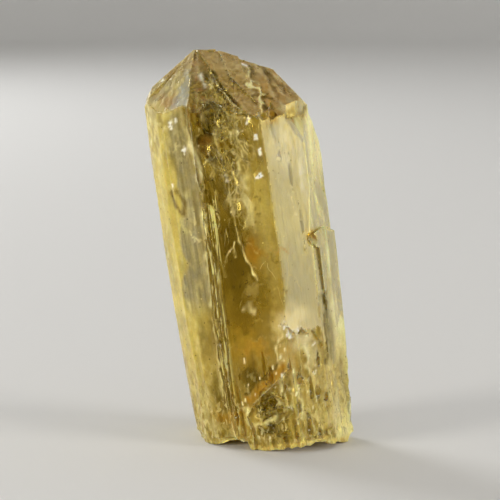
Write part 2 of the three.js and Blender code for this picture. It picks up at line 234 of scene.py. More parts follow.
def near_line(x, z, line, width):
    """1 on a line drawn as seen from the front, fading out over its width."""
    nearest = np.full(len(x), 99.0)
    for (ax, az), (bx, bz) in zip(line, line[1:]):
        dx, dz = bx - ax, bz - az
        t = held(((x - ax) * dx + (z - az) * dz) / (dx * dx + dz * dz))
        nearest = np.minimum(nearest, np.hypot(x - ax - t * dx, z - az - t * dz))
    return np.exp(-((nearest / width) ** 2))


print("masks ready")

# %% Striae and etching
ETCH_TOP = 12.5
points = in_crystal(crystal.data.vertices, len(crystal.data.vertices), "co")
looks = point_directions(crystal.data)
x, y, z = points.T
upright = 1 - ramp(np.abs(looks[:, 2]), 0.25, 0.5)
off_floor = ramp(z, 0.95, 1.6)
front = ramp(-looks[:, 1], -0.2, 0.2)
low = 1 - ramp(z, ETCH_TOP - 7, ETCH_TOP + 1)
right_low = low * ramp(x, -2.5, 0.5)
ribbed = np.exp(-((x + 2.9) / 0.9) ** 2) * front * (1 - ramp(z, 25, 31))
fine = grain(points, 0.42, 7.0, 11.7)
depth = 0.012 + 0.02 * ribbed + 0.03 * (1 - front) + 0.06 * right_low + 0.03 * low
striae = depth * (0.6 * grain(points, 0.9, 14.0, 3.1) + 0.8 * fine - 1)
pits = (0.02 + 0.12 * right_low + 0.03 * low) * held(grain(points, 0.5, 1.1, 23.9) - 0.15)
lumps = 0.12 * right_low * held(grain(points, 0.75, 1.5, 41.3) + 0.2)
inward = (striae - pits - lumps) * upright * off_floor
print("striae and pits up to", round(float(-inward.min()), 2), "mm deep")

# %% [markdown]
# ## Broken places
# Low on the front a small pocket broke out, with curved ripples like those in broken glass. The
# upper front corner is shattered: it is made of many tiny flat facets, each with its own tilt.
# Modelling them one by one would take days. A Voronoi pattern does it in one step: each of its
# cells becomes a facet with a random tilt, and the borders between cells become its edges.

# %% Rippled pocket
from_pocket = np.hypot(x - 0.05, (z - 5.6) / 1.7)
ripples = 0.09 * np.exp(-(((from_pocket - 0.7) / 0.6) ** 2)) * (1 + np.sin(15 * from_pocket + 2 * fine))
pocket = 0.5 * held(1 - from_pocket ** 2) + ripples
inward -= pocket * front * upright * off_floor
print("pocket", round(float((pocket * front).max()), 2), "mm deep")


# %% Shattered corner
def shattered(points):
    """How much each point belongs to the shattered corner, from 0 to 1."""
    x, z = points[:, 0], points[:, 2]
    upper = np.exp(-(((x + 1.1) / 2.3) ** 2)
                   - np.clip(31.5 - z, 0, None) ** 2 / 6 - np.clip(z - 36.5, 0, None) ** 2 / 5)
    tail = np.exp(-(((x + 0.6 - 0.1 * (28 - z)) / 1.0) ** 2)
                  - np.clip(26.0 - z, 0, None) ** 2 / 9 - np.clip(z - 30, 0, None) ** 2 / 9)
    return held(upper + 0.7 * tail)


def facets(points, mask):
    """How deep each point lies in its facet, and how near it is to a facet's edge, from 0 to 1."""
    depth = np.zeros(len(points))
    rim = np.zeros(len(points))
    for i in np.flatnonzero(mask > 0.03):
        px, py, pz = points[i]
        p = Vector(((px + 0.35 * pz) * 0.8, py * 0.8, pz * 0.42))
        gaps, cells = noise.voronoi(p)
        tilt = Vector([noise.noise(cells[0] * 31.7 + Vector((shift, 0, 0))) for shift in (0, 50, 100)])
        depth[i] = 0.16 + 0.45 * (p - cells[0]).dot(tilt) + 0.2 * tilt.x
        rim[i] = 1 - min(1.0, (gaps[1] - gaps[0]) / 0.16)
    return held(depth, 0.5), rim


corner = shattered(points) * ramp(-looks[:, 1], 0.0, 0.3)
inward -= corner * facets(points, corner)[0]
print("shattered facets cover", int((corner > 0.3).sum()), "points")

# %% [markdown]
# ## Tip and foot
# The tip's faces are satin, with rows of shallow ridges, a valley beside the shattered corner
# and tiny pits like rain on sand. The foot broke off the rock in an uneven curve: it rests on
# its middle and back, and arches off the ground at its front edge.

# %% Satin tip
VALLEY = [(-1.0, 38.3), (-0.6, 37.4), (-0.27, 36.5), (0.49, 35.6), (1.1, 34.8)]
RIDGES = [[(3.3, 38.0), (4.5, 36.6), (5.4, 35.3)], [(3.9, 37.4), (4.3, 36.0), (4.6, 34.8)]]
slope = 1 - upright
satin = slope * front * (z > 33) * ramp(x, -2.8, -1.8)
inward -= 0.18 * satin * near_line(x, z, VALLEY, 0.28)
for ridge in RIDGES:
    inward -= 0.12 * satin * near_line(x - 0.25, z - 0.1, ridge, 0.22)
inward -= 0.08 * satin * held(grain(points, 0.9, 0.7, 51.0) + 0.2)
rain = np.exp(-(((x - 0.9) / 1.6) ** 2 + ((z - 36.2) / 1.3) ** 2))
inward += slope * off_floor * (0.02 + 0.05 * rain) * (grain(points, 0.38, 0.38, 5.5) - 1) * (looks[:, 2] > 0)
print("deepest relief", round(float(-inward.min()), 2), "mm")


# %% Arched foot
def arch(points):
    """How far the foot's front edge is off the ground, in millimetres."""
    at = [-6.5, -5.3, -4.4, -3.4, -2.45, -2.3, -1.0, 0.5, 1.5, 3.1, 5.0, 6.3, 7.3]
    rise = [0.05, 0.2, 0.55, 0.85, 0.75, 0.1, 0.03, 0.25, 0.5, 0.75, 0.6, 0.4, 0.1]
    return np.interp(points[:, 0], at, rise) * ramp(-points[:, 1], 0.5, 3.0)


def above_ground(points):
    """Height over the ground, in millimetres."""
    return math.cos(LEAN) * points[:, 2] + math.sin(LEAN) * points[:, 0] + AXIS_FOOT.z


height = above_ground(points)
points = points + looks * inward[:, None]
points[:, 2] += arch(points) * (1 + 0.2 * fine) * held(1 - height / 1.8)
write_points(crystal.data, points)
print("the front edge of the foot arches up to", round(float(arch(points).max()), 2), "mm off the ground")

# %% [markdown]
# ## Cracks
# Inside the crystal are healed cracks, thin as paper. Each has two walls with a gap of a few
# hundredths of a millimetre between them, and light that meets the gap at a flat angle is thrown
# back, which gives bright lines and flashes. A painted line can't do that, so each crack is a
# real thin sheet that is cut out of the crystal: a grid primitive, bent into place and given its
# gap by a Solidify modifier. A ray cast from the front finds where the skin is.

# %% Where the skin is
skin = BVHTree.FromObject(crystal, bpy.context.evaluated_depsgraph_get())


def surface_at(x, z):
    """Where a line from the front meets the crystal, in its own frame."""
    start = to_world @ Vector((x, -20, z))
    inwards = (to_world.to_3x3() @ Vector((0, 1, 0))).normalized()
    return to_crystal @ skin.ray_cast(start, inwards)[0]


print("the skin at the middle of the front:", [round(v, 2) for v in surface_at(0, 20)])


# %% A thin sheet
FISSURE_GAP = 0.04  # millimetres between the two walls
SHELL_GAP = 0.05


def sheet(name, place, columns, rows, gap):
    """A thin closed sheet. place turns two numbers from 0 to 1 into a point of it."""
    deselect()
    bpy.ops.mesh.primitive_grid_add(x_subdivisions=columns, y_subdivisions=rows, size=1)
    piece = bpy.context.object
    piece.name = name
    for vertex in piece.data.vertices:
        vertex.co = to_world @ place(vertex.co.x + 0.5, vertex.co.y + 0.5)
    apply_modifier(piece, "gap", "SOLIDIFY", thickness=gap * MM, offset=0)
    return piece


def fissure(name, line, depth, slant, start, seed):
    """A crack that runs inwards from a line drawn as seen from the front. slant is how far its
    inner edge lies to the right for each millimetre of depth, start how deep it begins."""
    knots = [surface_at(x, z) for x, z in line]
    lengths = np.cumsum([0] + [(b - a).length for a, b in zip(knots, knots[1:])])

    def place(u, v):
        s = u * lengths[-1]
        i = min(int(np.searchsorted(lengths, s, side="right")) - 1, len(knots) - 2)
        p = knots[i].lerp(knots[i + 1], (s - lengths[i]) / (lengths[i + 1] - lengths[i]))
        reach = depth * (0.25 + 0.75 * math.sin(math.pi * u) ** 0.7)
        reach *= 1 + 0.5 * noise.noise(Vector((u * 5, seed, 0)))
        p += Vector((slant * v * reach, v * reach + start * (1 - v), 0))
        p.x += 0.06 * noise.noise(Vector((u * 9, v * 2, seed + 7)))
        p.z += 0.12 * noise.noise(Vector((u * 6, v * 3, seed + 13)))
        return p

    return sheet(name, place, max(8, int(lengths[-1] / 0.35)), max(3, int(depth / 0.4)), FISSURE_GAP)


# line, depth, slant, start
FISSURES = [
    ([(-2.42, 25.2), (-2.29, 23.6), (-2.72, 21.4), (-3.11, 17.1)], 0.7, 0.3, 0.1),
    ([(-3.7, 25.5), (-3.9, 21.0), (-4.1, 17.0), (-4.2, 13.2)], 0.8, 0.5, -0.25),
    ([(-3.3, 24.5), (-3.4, 20.0), (-3.6, 15.0), (-3.8, 10.0)], 0.7, 0.4, -0.25),
    ([(-2.7, 22.0), (-2.9, 18.0), (-3.1, 13.0), (-3.5, 8.0)], 0.7, 0.4, -0.25),
    ([(-6.6, 27.4), (-6.3, 26.0), (-5.6, 24.9)], 1.0, 0.6, 0.12),
    ([(-5.9, 24.6), (-5.6, 23.2)], 0.8, 0.4, 0.12),
]
clear_cracks = [fissure(f"fissure_{i}", *row, 10 + i * 3.3) for i, row in enumerate(FISSURES)]
print(len(clear_cracks), "long cracks")

# %% [markdown]
# ## Broken shells under the shattered corner
# Behind the shattered corner small curved cracks lie at many depths, like broken eggshell. Each
# is a grid squeezed into a ragged disc, bowed and turned at random. Every third one is stained
# by iron, so it is kept in a list of its own.


# %% Shells
def shell(name, middle, radii, bearing, tilt, bow, seed):
    """A curved, ragged disc of a crack, facing the way that its bearing and tilt say."""
    out = Vector((math.sin(tilt) * math.cos(bearing), math.sin(tilt) * math.sin(bearing), math.cos(tilt)))
    turn = out.to_track_quat("Z", "Y").to_matrix()

    def place(u, v):
        a, b = 2 * u - 1, 2 * v - 1
        x, y = a * math.sqrt(1 - b * b / 2), b * math.sqrt(1 - a * a / 2)
        angle = math.atan2(y, x)
        ragged = 1 + 0.45 * noise.noise(Vector((math.cos(angle) * 2, math.sin(angle) * 2, seed)))
        x, y = x * ragged * radii[0], y * ragged * radii[1]
        lift = bow * (x * x + y * y) + 0.2 * noise.noise(Vector((x, y, seed + 3)))
        return Vector(middle) + turn @ Vector((x, y, lift))

    count = max(8, int(max(radii) / 0.22))
    return sheet(name, place, count, count, SHELL_GAP)


stained_cracks = []
chance = random.Random(11)
for i in range(12):
    middle = surface_at(chance.uniform(-2.8, 1.2), chance.uniform(28.0, 36.6))
    middle += Vector((0, chance.uniform(0.6, 4.0), 0))
    size = chance.uniform(0.4, 1.3)
    radii = (size, size * chance.uniform(0.4, 0.8))
    bearing, tilt = math.radians(chance.uniform(200, 340)), math.radians(chance.uniform(20, 60))
    piece = shell(f"shell_{i}", middle, radii, bearing, tilt, chance.uniform(-0.3, 0.3), i * 1.7)
    (stained_cracks if i % 3 == 0 else clear_cracks).append(piece)
print(len(clear_cracks), "clear cracks and", len(stained_cracks), "stained ones")

# %% [markdown]
# ## Bubbles and flakes
# Tiny bubbles and flat flakes of healed crack sparkle just under the skin. They are small ico
# spheres: a sphere of few faces, squeezed and turned, gives hard little flashes where a smooth
# one would only give a round dot. They are joined, so that one cut takes them all out.

# %% Bubbles
GLINTS = [(2.7, 13.2), (2.85, 12.3), (3.9, 12.5), (3.1, 12.1), (5.2, 10.8), (4.96, 7.9), (-1.03, 28.3),
          (-0.95, 27.9), (-5.75, 33.9), (-5.6, 33.6), (-5.0, 34.1), (-4.62, 31.4), (-4.7, 31.1), (1.9, 33.5),
          (1.7, 33.1), (2.35, 31.7), (2.53, 30.4), (2.48, 28.2), (2.2, 28.0), (1.93, 27.9), (-6.3, 27.9),
          (-3.9, 11.8), (1.82, 8.4), (2.28, 6.9), (2.09, 5.1), (3.34, 7.9), (2.97, 6.4)]
specks = [(cx + chance.uniform(-0.15, 0.15), cz + chance.uniform(-0.2, 0.2), 0.2) for cx, cz in GLINTS]
specks += [(-0.61, 18.8, 0.15), (-0.38, 17.9, 0.17), (-1.13, 17.5, 0.13), (0.38, 17.7, 0.2), (-0.4, 16.6, 0.14)]
specks += [(chance.gauss(-0.3, 1.0), chance.gauss(17.5, 2.5), chance.uniform(0.05, 0.12)) for _ in range(22)]
specks += [(chance.gauss(-5.6, 0.6), chance.gauss(26, 5), chance.uniform(0.06, 0.14)) for _ in range(16)]


def fleck(faces, radius, place, squeeze, turn):
    """A small ico sphere in the crystal, squeezed and turned."""
    deselect()
    bpy.ops.mesh.primitive_ico_sphere_add(subdivisions=faces, radius=radius * MM, location=to_world @ place)
    piece = bpy.context.object
    piece.scale = squeeze
    piece.rotation_euler = turn
    return piece


bubbles = []
for px, pz, radius in specks:
    place = surface_at(px, pz) + Vector((0, radius + chance.uniform(0.12, 0.5), 0))
    squeeze = (chance.uniform(0.6, 1.1), chance.uniform(0.6, 1.0), chance.uniform(0.9, 1.6))
    bubbles.append(fleck(2, radius, place, squeeze, (0, chance.uniform(-0.5, 0.5), 0)))
print(len(bubbles), "bubbles")

# %% Flakes
for i in range(70):
    px, pz = [(chance.gauss(-0.8, 1.5), chance.uniform(25, 37)),
              (chance.gauss(-3.2, 0.8), chance.uniform(5, 28)),
              (chance.uniform(-3.5, 6.2), chance.uniform(2.0, 12)),
              (chance.uniform(-6.5, 5.5), chance.uniform(3, 34))][i % 4]
    radius = chance.uniform(0.12, 0.42)
    place = surface_at(px, pz) + Vector((0, radius * 0.6 + chance.uniform(0.05, 0.6), 0))
    squeeze = (1, chance.uniform(0.4, 0.9), 0.09)
    turn = (chance.uniform(0.5, 2.2), chance.uniform(-0.6, 0.6), chance.uniform(-1.0, 1.0))
    bubbles.append(fleck(1, radius, place, squeeze, turn))
choose(bubbles[0])
for piece in bubbles:
    piece.select_set(True)
bpy.ops.object.join()
sparkles = bpy.context.object
sparkles.name = "sparkles"
bpy.ops.object.transform_apply(location=True, rotation=True, scale=True)
clear_cracks.append(sparkles)
print("joined into one piece of", len(sparkles.data.polygons), "faces")

# %% [markdown]
# ## Cutting the cracks out
# A Boolean modifier takes each sheet out of the crystal and leaves its walls inside. The walls
# have to be told apart from the skin later, for they are clean and clear. So each group of
# sheets carries its own material, and the modifier hands that material over to the walls.

# %% Cut
skin_finish = bpy.data.materials.new("skin")
wall_finish = bpy.data.materials.new("crack wall")
stained_finish = bpy.data.materials.new("stained wall")
crystal.data.materials.append(skin_finish)
for group, finish in ((clear_cracks, wall_finish), (stained_cracks, stained_finish)):
    for piece in group:
        piece.data.materials.append(finish)
        apply_modifier(crystal, "crack", "BOOLEAN", operation="DIFFERENCE", solver="MANIFOLD",
                       object=piece, material_mode="TRANSFER")
        bpy.data.objects.remove(piece)
triangles = sum(len(p.vertices) - 2 for p in crystal.data.polygons)
print("cut:", len(crystal.data.vertices), "points,", triangles, "triangles")

# %% Crack walls
mesh = crystal.data
finishes = [m.name for m in mesh.materials]
wall = np.zeros(len(mesh.vertices))
iron = np.zeros(len(mesh.vertices))
for polygon in mesh.polygons:
    name = finishes[polygon.material_index]
    if name != "skin":
        wall[list(polygon.vertices)] = 1
    if name == "stained wall":
        iron[list(polygon.vertices)] = 1
mesh.polygons.foreach_set("material_index", np.zeros(len(mesh.polygons), dtype=np.int32))
choose(crystal)
bpy.ops.object.shade_smooth_by_angle(angle=math.radians(28))
print(int(wall.sum()), "points on crack walls,", int(iron.sum()), "of them stained")

# %% [markdown]
# ## Painting the crystal
# The crystal is one material all through, yet it looks different everywhere: clear and deep
# olive in the middle, milky on the left, satin on the right. An image texture would need
# unwrapping, and couldn't reach the crack walls. So the finish is painted on the mesh's points,
# as attributes that the material reads: a tint, how cloudy (milky) a place is, and how frosted
# (rough). Part of the tint is painted light: sheens, glints and highlights, and shade in grooves and
# hollows. Noise bends the borders of each stroke, so that none looks drawn.

# %% Paint and its tools
points = in_crystal(mesh.vertices, len(mesh.vertices), "co")
looks = point_directions(mesh)
x, y, z = points.T
patchy = grain(points, 1.6, 2.6, 1.3)
mottled = grain(points, 0.5, 0.9, 7.7)
streaky = grain(points, 0.35, 6.0, 17.3)
sandy = grain(points, 0.28, 0.28, 83.0)
x_bent = x + 0.35 * mottled + 0.2 * patchy
z_bent = z + 0.5 * grain(points, 0.7, 0.9, 31.7)
on_front = ramp(-looks[:, 1], -0.1, 0.25)
tint = np.tile([0.96, 0.84, 0.4], (len(points), 1))
cloud = np.full(len(points), 0.06)
frost = np.full(len(points), 0.05)


def lay(mask, colour, milk, rough=None):
    """Lays a finish over what is painted: its colour, how milky and how rough it is."""
    global tint, cloud, frost
    mask = held(mask)
    tint = tint * (1 - mask[:, None]) + np.array(colour) * mask[:, None]
    cloud = cloud * (1 - mask) + milk * mask
    if rough is not None:
        frost = frost * (1 - mask) + rough * mask


def coats(zone, *rows):
    """Several finishes over one zone. Each row is how much of it to cover, then the finish."""
    for amount, *finish in rows:
        lay(amount * zone, *finish)


def spot(cx, cz, rx, rz):
    """An oval patch with a flat middle and a soft, ragged border."""
    return held(1.6 * np.exp(-(((x_bent - cx) / rx) ** 2 + ((z_bent - cz) / rz) ** 2))) * on_front


def trace(line, width, wander=0.5):
    """A stroke along a line; wander says how far noise bends it."""
    return near_line(x + wander * (x_bent - x), z + wander * (z_bent - z), line, width) * on_front


def window(across, up, places=None):
    """A soft-edged upright patch of the front. Each range is its start, its end and its softness."""
    return between(x_bent if places is None else places, *across) * between(z, *up) * on_front


def moved(line, right, up=0):
    return [(px + right, pz + up) for px, pz in line]


def lay_spots(colour, milk, *rows):
    """Patches of one finish. Each row is strength, place across and up, half width and height."""
    for strength, *place in rows:
        lay(strength * spot(*place), colour, milk)


def lay_lines(colour, milk, *rows):
    """Strokes of one finish. Each row is strength, width, wander and the line's places."""
    for strength, width, wander, *line in rows:
        lay(strength * trace(line, width, wander), colour, milk)


CREAM = (0.95, 0.88, 0.52)
# The white of painted glints and highlights.
HIGHLIGHT_WHITE = (1.0, 0.99, 0.93)
STRAW = (0.98, 0.86, 0.42)
GOLD = (0.8, 0.62, 0.13)
ORANGE = (0.62, 0.3, 0.05)
DARK = (0.06, 0.042, 0.005)
print("points to paint:", len(points))

# %% [markdown]
# ## Large zones of the prism
# The first coats are broad. The body is clear gold. The left side and the narrow faces on the
# right are milky, the broad face right of the middle is a satin cream that is partly frosted and
# partly a painted sheen of reflected light, and a grey, glassy band of painted reflection runs
# beside the front edge. The foot is paler, where etching has frosted it.

# %% Prism zones
low = 1 - ramp(z, 4, ETCH_TOP + 0.5)
left_side = (1 - ramp(x, -5.2, -4.0)) * ramp(-y, -4.5, -2)
right_side = ramp(x, 6.0, 6.4) * ramp(-y, -3.5, -1.5)
# The broad face right of the middle: its mask carries a painted sheen, a cream that stands for a lamp's reflection on
# the frosted face.
painted_sheen_face = between(0.571 * looks[:, 0] - 0.821 * looks[:, 1], 0.93, 2, 0.03) * on_front
grooved = between(x, 3.3, 5.6, 0.12) * (y < -3.8) * ramp(0.9 - looks[:, 2], 0, 0.1) * (z < 33)
painted_sheen_face = np.maximum(painted_sheen_face, grooved) * (z + 0.5 * streaky > ETCH_TOP - 0.2)
EDGE = [(-4.4, 6.8), (-4.15, 13.5), (-3.97, 17.5), (-3.88, 19.7), (-3.72, 22.3), (-3.57, 24.8), (-3.4, 26.0),
        (-3.46, 27.9), (-3.27, 29.2), (-3.6, 30.5), (-4.0, 31.6), (-4.2, 33.4)]
edge_x, edge_z = zip(*EDGE)
from_edge = x - np.interp(z, edge_z, edge_x)
band_width = np.interp(z, [12, 16, 17.5, 20.6, 22.4, 24.7, 26.6, 28.7, 30.7, 33.4, 35.5],
                       [1.6, 2.5, 2.9, 2.3, 2.5, 2.1, 2.0, 2.3, 2.7, 1.7, 0.9]) * (1 + 0.25 * patchy)
# The grey band beside the front edge is painted reflection of a cool light, with striae in it.
painted_reflection_band = window((-band_width, -0.05, 0.25), (15.9, 35.2, 1.6), from_edge + 0.2 * mottled)

lay(0.5 + 0.4 * patchy, GOLD, 0.12)
coats(low, (0.75 + 0.3 * patchy, (0.86, 0.7, 0.2), 0.5, 0.2),
      (0.8 * held(0.1 + 0.8 * streaky), (0.5, 0.37, 0.07), 0.2, 0.12))
lay(left_side * (0.85 + 0.3 * patchy), (0.87, 0.74, 0.2), 0.66, 0.2)
lay(right_side * (0.85 + 0.3 * patchy), (1.0, 0.94, 0.53), 0.8, 0.22)
# Painted reflection: the grey band, with pale and dark striae.
coats(painted_reflection_band, (0.75 + 0.3 * mottled, (0.6, 0.56, 0.37), 0.42, 0.08),
      (0.8 * held(streaky), (0.8, 0.75, 0.48), 0.6),
      (0.6 * held(-streaky - 0.1), (0.4, 0.35, 0.15), 0.2))
# Painted sheen on the broad face: cream, paler and greyer higher up, with a darker top and a pale streak.
coats(painted_sheen_face, (0.95, (0.605, 0.585, 0.43), 0.68, 0.32),
      (0.7 * ramp(z, 26, 30), (0.66, 0.65, 0.56), 0.7),
      (0.6 * spot(4.2, 33.0, 1.8, 0.6), (0.52, 0.47, 0.29), 0.55),
      (0.6 * spot(4.9, 30.5, 0.4, 2.2), (0.78, 0.75, 0.58), 0.8),
      (0.35 * held(grain(points, 0.4, 9.0, 61.0)), (0.8, 0.72, 0.42), 0.75),
      (0.35 * held(grain(points, 0.3, 1.0, 67.0) - 0.1), (0.5, 0.44, 0.2), 0.5))
lay_lines((0.72, 0.68, 0.46), 0.75,
          (0.8, 0.08, 0.8, (5.45, 29.0), (5.2, 27.4), (5.04, 25.9), (5.15, 24.1), (4.93, 23.1)),
          (0.6, 0.08, 0.8, (4.15, 28.9), (3.93, 27.6), (4.0, 26.8)))
print("milky on average", round(float(cloud.mean()), 2))

# %% Mottling of the sides, with painted shade and highlights on the right face
coats(left_side, (0.3 * held(1.6 * patchy - 0.3), (0.66, 0.56, 0.18), 0.4),
      (0.3 * held(-1.6 * mottled - 0.5) * (1 - low), (0.92, 0.86, 0.5), 0.8),
      (0.6 * ramp(z, 29, 32) * held(2.0 * mottled), (0.54, 0.44, 0.14), 0.42),
      (0.55 * ramp(z, 29, 32) * held(-1.8 * grain(points, 0.35, 0.45, 71.0) - 0.3), CREAM, 0.85))
coats(low * (1 - ramp(x, -4.2, -3.0)) * on_front, (0.75, (0.62, 0.49, 0.15), 0.42),
      (0.6 * held(1.5 * mottled), (0.54, 0.38, 0.09), 0.35),
      (0.5 * held(-1.3 * mottled), (0.86, 0.78, 0.42), 0.7),
      (0.4 * held(1.5 * streaky), (0.86, 0.8, 0.5), 0.65))
lay_lines((0.45, 0.32, 0.06), 0.25,
          (0.75, 0.38, 1.0, (-4.4, 14.4), (-4.2, 12.3), (-3.9, 10.6), (-3.9, 8.5), (-3.7, 6.5)))
lay_spots((0.5, 0.38, 0.08), 0.3,
          (0.6, -5.3, 12.5, 0.5, 2.0), (0.55, -4.94, 7.9, 0.6, 1.2), (0.8, -4.2, 6.5, 0.8, 1.1))
lay_spots((0.62, 0.54, 0.28), 0.45, (0.75, 7.1, 6.3, 0.9, 2.6))
lay_spots((0.6, 0.34, 0.06), 0.34, (0.7, -4.05, 6.9, 0.5, 0.5), (0.7, -4.6, 4.5, 0.6, 0.35),
          (0.8, -3.2, 4.85, 0.6, 0.35), (0.6, -3.6, 3.6, 0.6, 0.3))
lay_lines((0.42, 0.34, 0.1), 0.3, (0.5, 0.3, 0.2, (-5.95, 30.7), (-5.45, 28.9), (-5.15, 27.4)))
lay(0.22 * low * between(x, -3.6, -0.5, 0.5) * on_front, (0.62, 0.36, 0.08), 0.32)
lay(0.35 * window((1.2, 3.2, 0.4), (14, 31, 2), x), (0.46, 0.42, 0.13), 0.45)
lay(0.6 * low * ramp(x, 4.5, 6.5) * on_front * held(1.4 * patchy), (0.8, 0.76, 0.55), 0.7)
# Painted shade: a dark grey band low on the right face.
shaded = trace([(6.9, 15.2), (6.8, 13.0), (6.85, 11.0), (6.7, 9.0)], 0.45)
lay(0.9 * shaded * (0.85 + 0.3 * mottled), (0.42, 0.41, 0.24), 0.42)
# Painted highlights: a bright rim along the right face's outer edge, and a whitish band on the face.
lit = right_side * ramp(x, 6.9, 7.5) * ramp(z, 25.5, 28.5)
lay(0.85 * lit * (0.8 + 0.4 * streaky), (1.0, 0.92, 0.54), 0.92)
lay(0.6 * spot(6.4, 27.5, 0.35, 2.0) * (0.8 + 0.5 * mottled), (0.84, 0.84, 0.74), 0.85)
lay_spots((0.8, 0.66, 0.22), 0.6, (0.7, 6.5, 33.4, 0.9, 0.75))
print("milky on average", round(float(cloud.mean()), 2))

# %% [markdown]
# ## Tip
# The tip's faces are satin and stained by iron, brown on the right and yellow on the left, and
# one narrow face beside the front edge carries a painted bluish sheen of reflected light. Iron sits
# in the surface only, so it goes into the paint as an orange brown, milky and rough enough to look
# like satin.

# %% Faces of the tip
tip = ramp(looks[:, 2], 0.3, 0.5) * ramp(z, 30, 33)
coats(tip, (0.95, (0.56, 0.41, 0.17), 0.46, 0.26),
      (held(patchy + 0.2, 0.8), (0.58, 0.48, 0.18), 0.42),
      (held(-1.3 * patchy - 0.2, 0.8), (0.6, 0.36, 0.12), 0.4),
      (0.85 * (1 - on_front), (0.5, 0.39, 0.15), 0.75, 0.7),
      (0.4 * (1 - on_front) * held(1.5 * mottled), (0.38, 0.27, 0.1), 0.6))
# Painted bluish sheen: the narrow facet beside the front edge is painted bluish grey for reflected light.
bluish_from = -2.6 - 0.72 * (39.4 - z)
painted_bluish_sheen = ramp(x_bent, bluish_from - 0.3, bluish_from + 0.2) * ramp(z_bent, 34.6, 35.6)
coats(tip * ramp(-looks[:, 0], 0.12, 0.3) * on_front, (1.0, (0.51, 0.44, 0.2), 0.54, 0.3),
      (held(1.4 * patchy, 0.8), (0.52, 0.37, 0.13), 0.5),
      (held(-1.4 * mottled - 0.2, 0.8), (0.78, 0.68, 0.3), 0.72),
      (0.8 * (1 - ramp(z_bent, 35.2, 36.6)), (0.72, 0.6, 0.2), 0.62),
      (painted_bluish_sheen, (0.47, 0.51, 0.5), 0.64),
      (0.8 * held(spot(-3.75, 36.1, 0.75, 0.9) + spot(-4.1, 35.0, 0.5, 0.7)), (0.5, 0.56, 0.58), 0.7))
lay_lines((0.5, 0.33, 0.13), 0.5, (0.45, 0.4, 0.5, (-2.6, 39.6), (-4.0, 39.1), (-5.0, 38.4)))
lay_spots(ORANGE, 0.3, (0.8, 4.4, 33.5, 0.5, 0.5), (0.8, -2.4, 36.3, 0.5, 0.8), (0.8, -3.3, 34.4, 0.5, 0.9),
          (0.5, -5.5, 36.0, 0.8, 0.45))
print("tip:", int((tip > 0.5).sum()), "points")

# %% Satin face right of the valley
valley_x = np.interp(z, [33.5, 34.9, 35.6, 36.5, 37.6, 38.7, 39.5], [1.9, 1.05, 0.49, -0.27, -0.58, -1.56, -2.3])
satin_face = ramp(x + 0.3 * mottled, valley_x - 0.1, valley_x + 0.35) * tip * on_front
coats(satin_face, (0.8 * ramp(z, 33.8, 34.8), (0.6, 0.45, 0.205), 0.56, 0.32),
      (0.5 * held(1.5 * patchy), (0.62, 0.41, 0.16), 0.5),
      (0.7 * held(1.6 * sandy) * spot(0.9, 36.2, 1.5, 1.4), (0.36, 0.25, 0.08), 0.3),
      (0.5 * held(-1.6 * sandy - 0.2), (0.8, 0.66, 0.38), 0.75))
lay(0.8 * spot(4.6, 35.8, 1.5, 1.5) * tip, (0.66, 0.43, 0.17), 0.52)
# Painted highlights along the tip's upper right edges.
lay_lines((0.78, 0.7, 0.42), 0.7, (0.7, 0.2, 0.8, (3.0, 38.4), (4.6, 37.2), (6.2, 36.0), (7.0, 34.8)))
lay_lines((0.84, 0.74, 0.42), 0.75, (0.6, 0.15, 0.8, (4.2, 37.0), (5.0, 36.3), (5.5, 35.4)))
lay_lines((0.74, 0.62, 0.32), 0.7, (0.5, 0.16, 1.0, (1.0, 39.0), (2.0, 38.0), (2.4, 36.6), (2.5, 35.2)))
# On each ridge, a painted highlight on its crest and painted shade in the groove beside it.
for ridge in RIDGES:
    lay_lines((0.8, 0.66, 0.36), 0.65, (0.6, 0.13, 0.6, *ridge))
    lay_lines((0.26, 0.15, 0.04), 0.15, (0.6, 0.15, 0.6, *moved(ridge, 0.28, 0.1)))
print("satin face:", int((satin_face > 0.5).sum()), "points")

# %% [markdown]
# ## Deep middle
# In the middle the crystal is at its clearest, so the eye looks deep into it: dark olive on the
# left, clear gold on the right, with an orange stain, a soft orange glow and a few pale veils.
# Clear places get a dark tint and hardly any milk, so that the light which does come through
# has that colour.

# %% Olive and gold depths
lay(window((-3.7, -0.6, 0.5), (14, 28, 2), x) * (0.7 + 0.3 * patchy), (0.42, 0.31, 0.05), 0.06)
lay(window((-3.0, 0.6, 0.8), (12, 24, 2.5)) * (0.85 + 0.3 * patchy), (0.27, 0.19, 0.02), 0.03)
lay(0.85 * window((-2.3, 0.0, 0.4), (16.5, 24.5, 1.5)), (0.13, 0.09, 0.008), 0.02)
lay(0.6 * window((-1.4, 1.6, 0.6), (14.0, 19.0, 1.5)), (0.2, 0.14, 0.015), 0.03)
lay_spots((0.88, 0.74, 0.22), 0.45, (0.7, 1.2, 26.6, 1.1, 2.6), (0.5, 2.3, 24.0, 0.7, 4.0))
lay_spots((0.5, 0.38, 0.08), 0.22, (0.6, 1.2, 30.6, 1.3, 1.7))
lay_spots((0.8, 0.62, 0.16), 0.3, (0.4, 2.2, 17.0, 0.7, 4.0))
lay_spots((0.3, 0.21, 0.02), 0.06, (0.6, -0.1, 19.9, 0.4, 1.0))
lay_spots((0.6, 0.33, 0.02), 0.35, (0.7, 0.7, 20.9, 0.7, 1.5))
lay_spots((0.58, 0.26, 0.01), 0.45, (0.55, 0.68, 21.0, 0.42, 1.1))
lay_spots((1.0, 0.9, 0.42), 0.9,
          (0.9, 0.52, 27.2, 0.45, 0.8), (0.8, 0.6, 25.2, 0.42, 0.9), (0.6, 0.5, 23.8, 0.35, 0.6))
lay_spots((0.75, 0.5, 0.15), 0.5, (0.8, 6.5, 21.4, 0.35, 0.45))
lay_lines((0.6, 0.34, 0.1), 0.5, (0.7, 0.13, 0.8, (2.1, 20.75), (3.0, 20.7), (4.1, 20.4)))
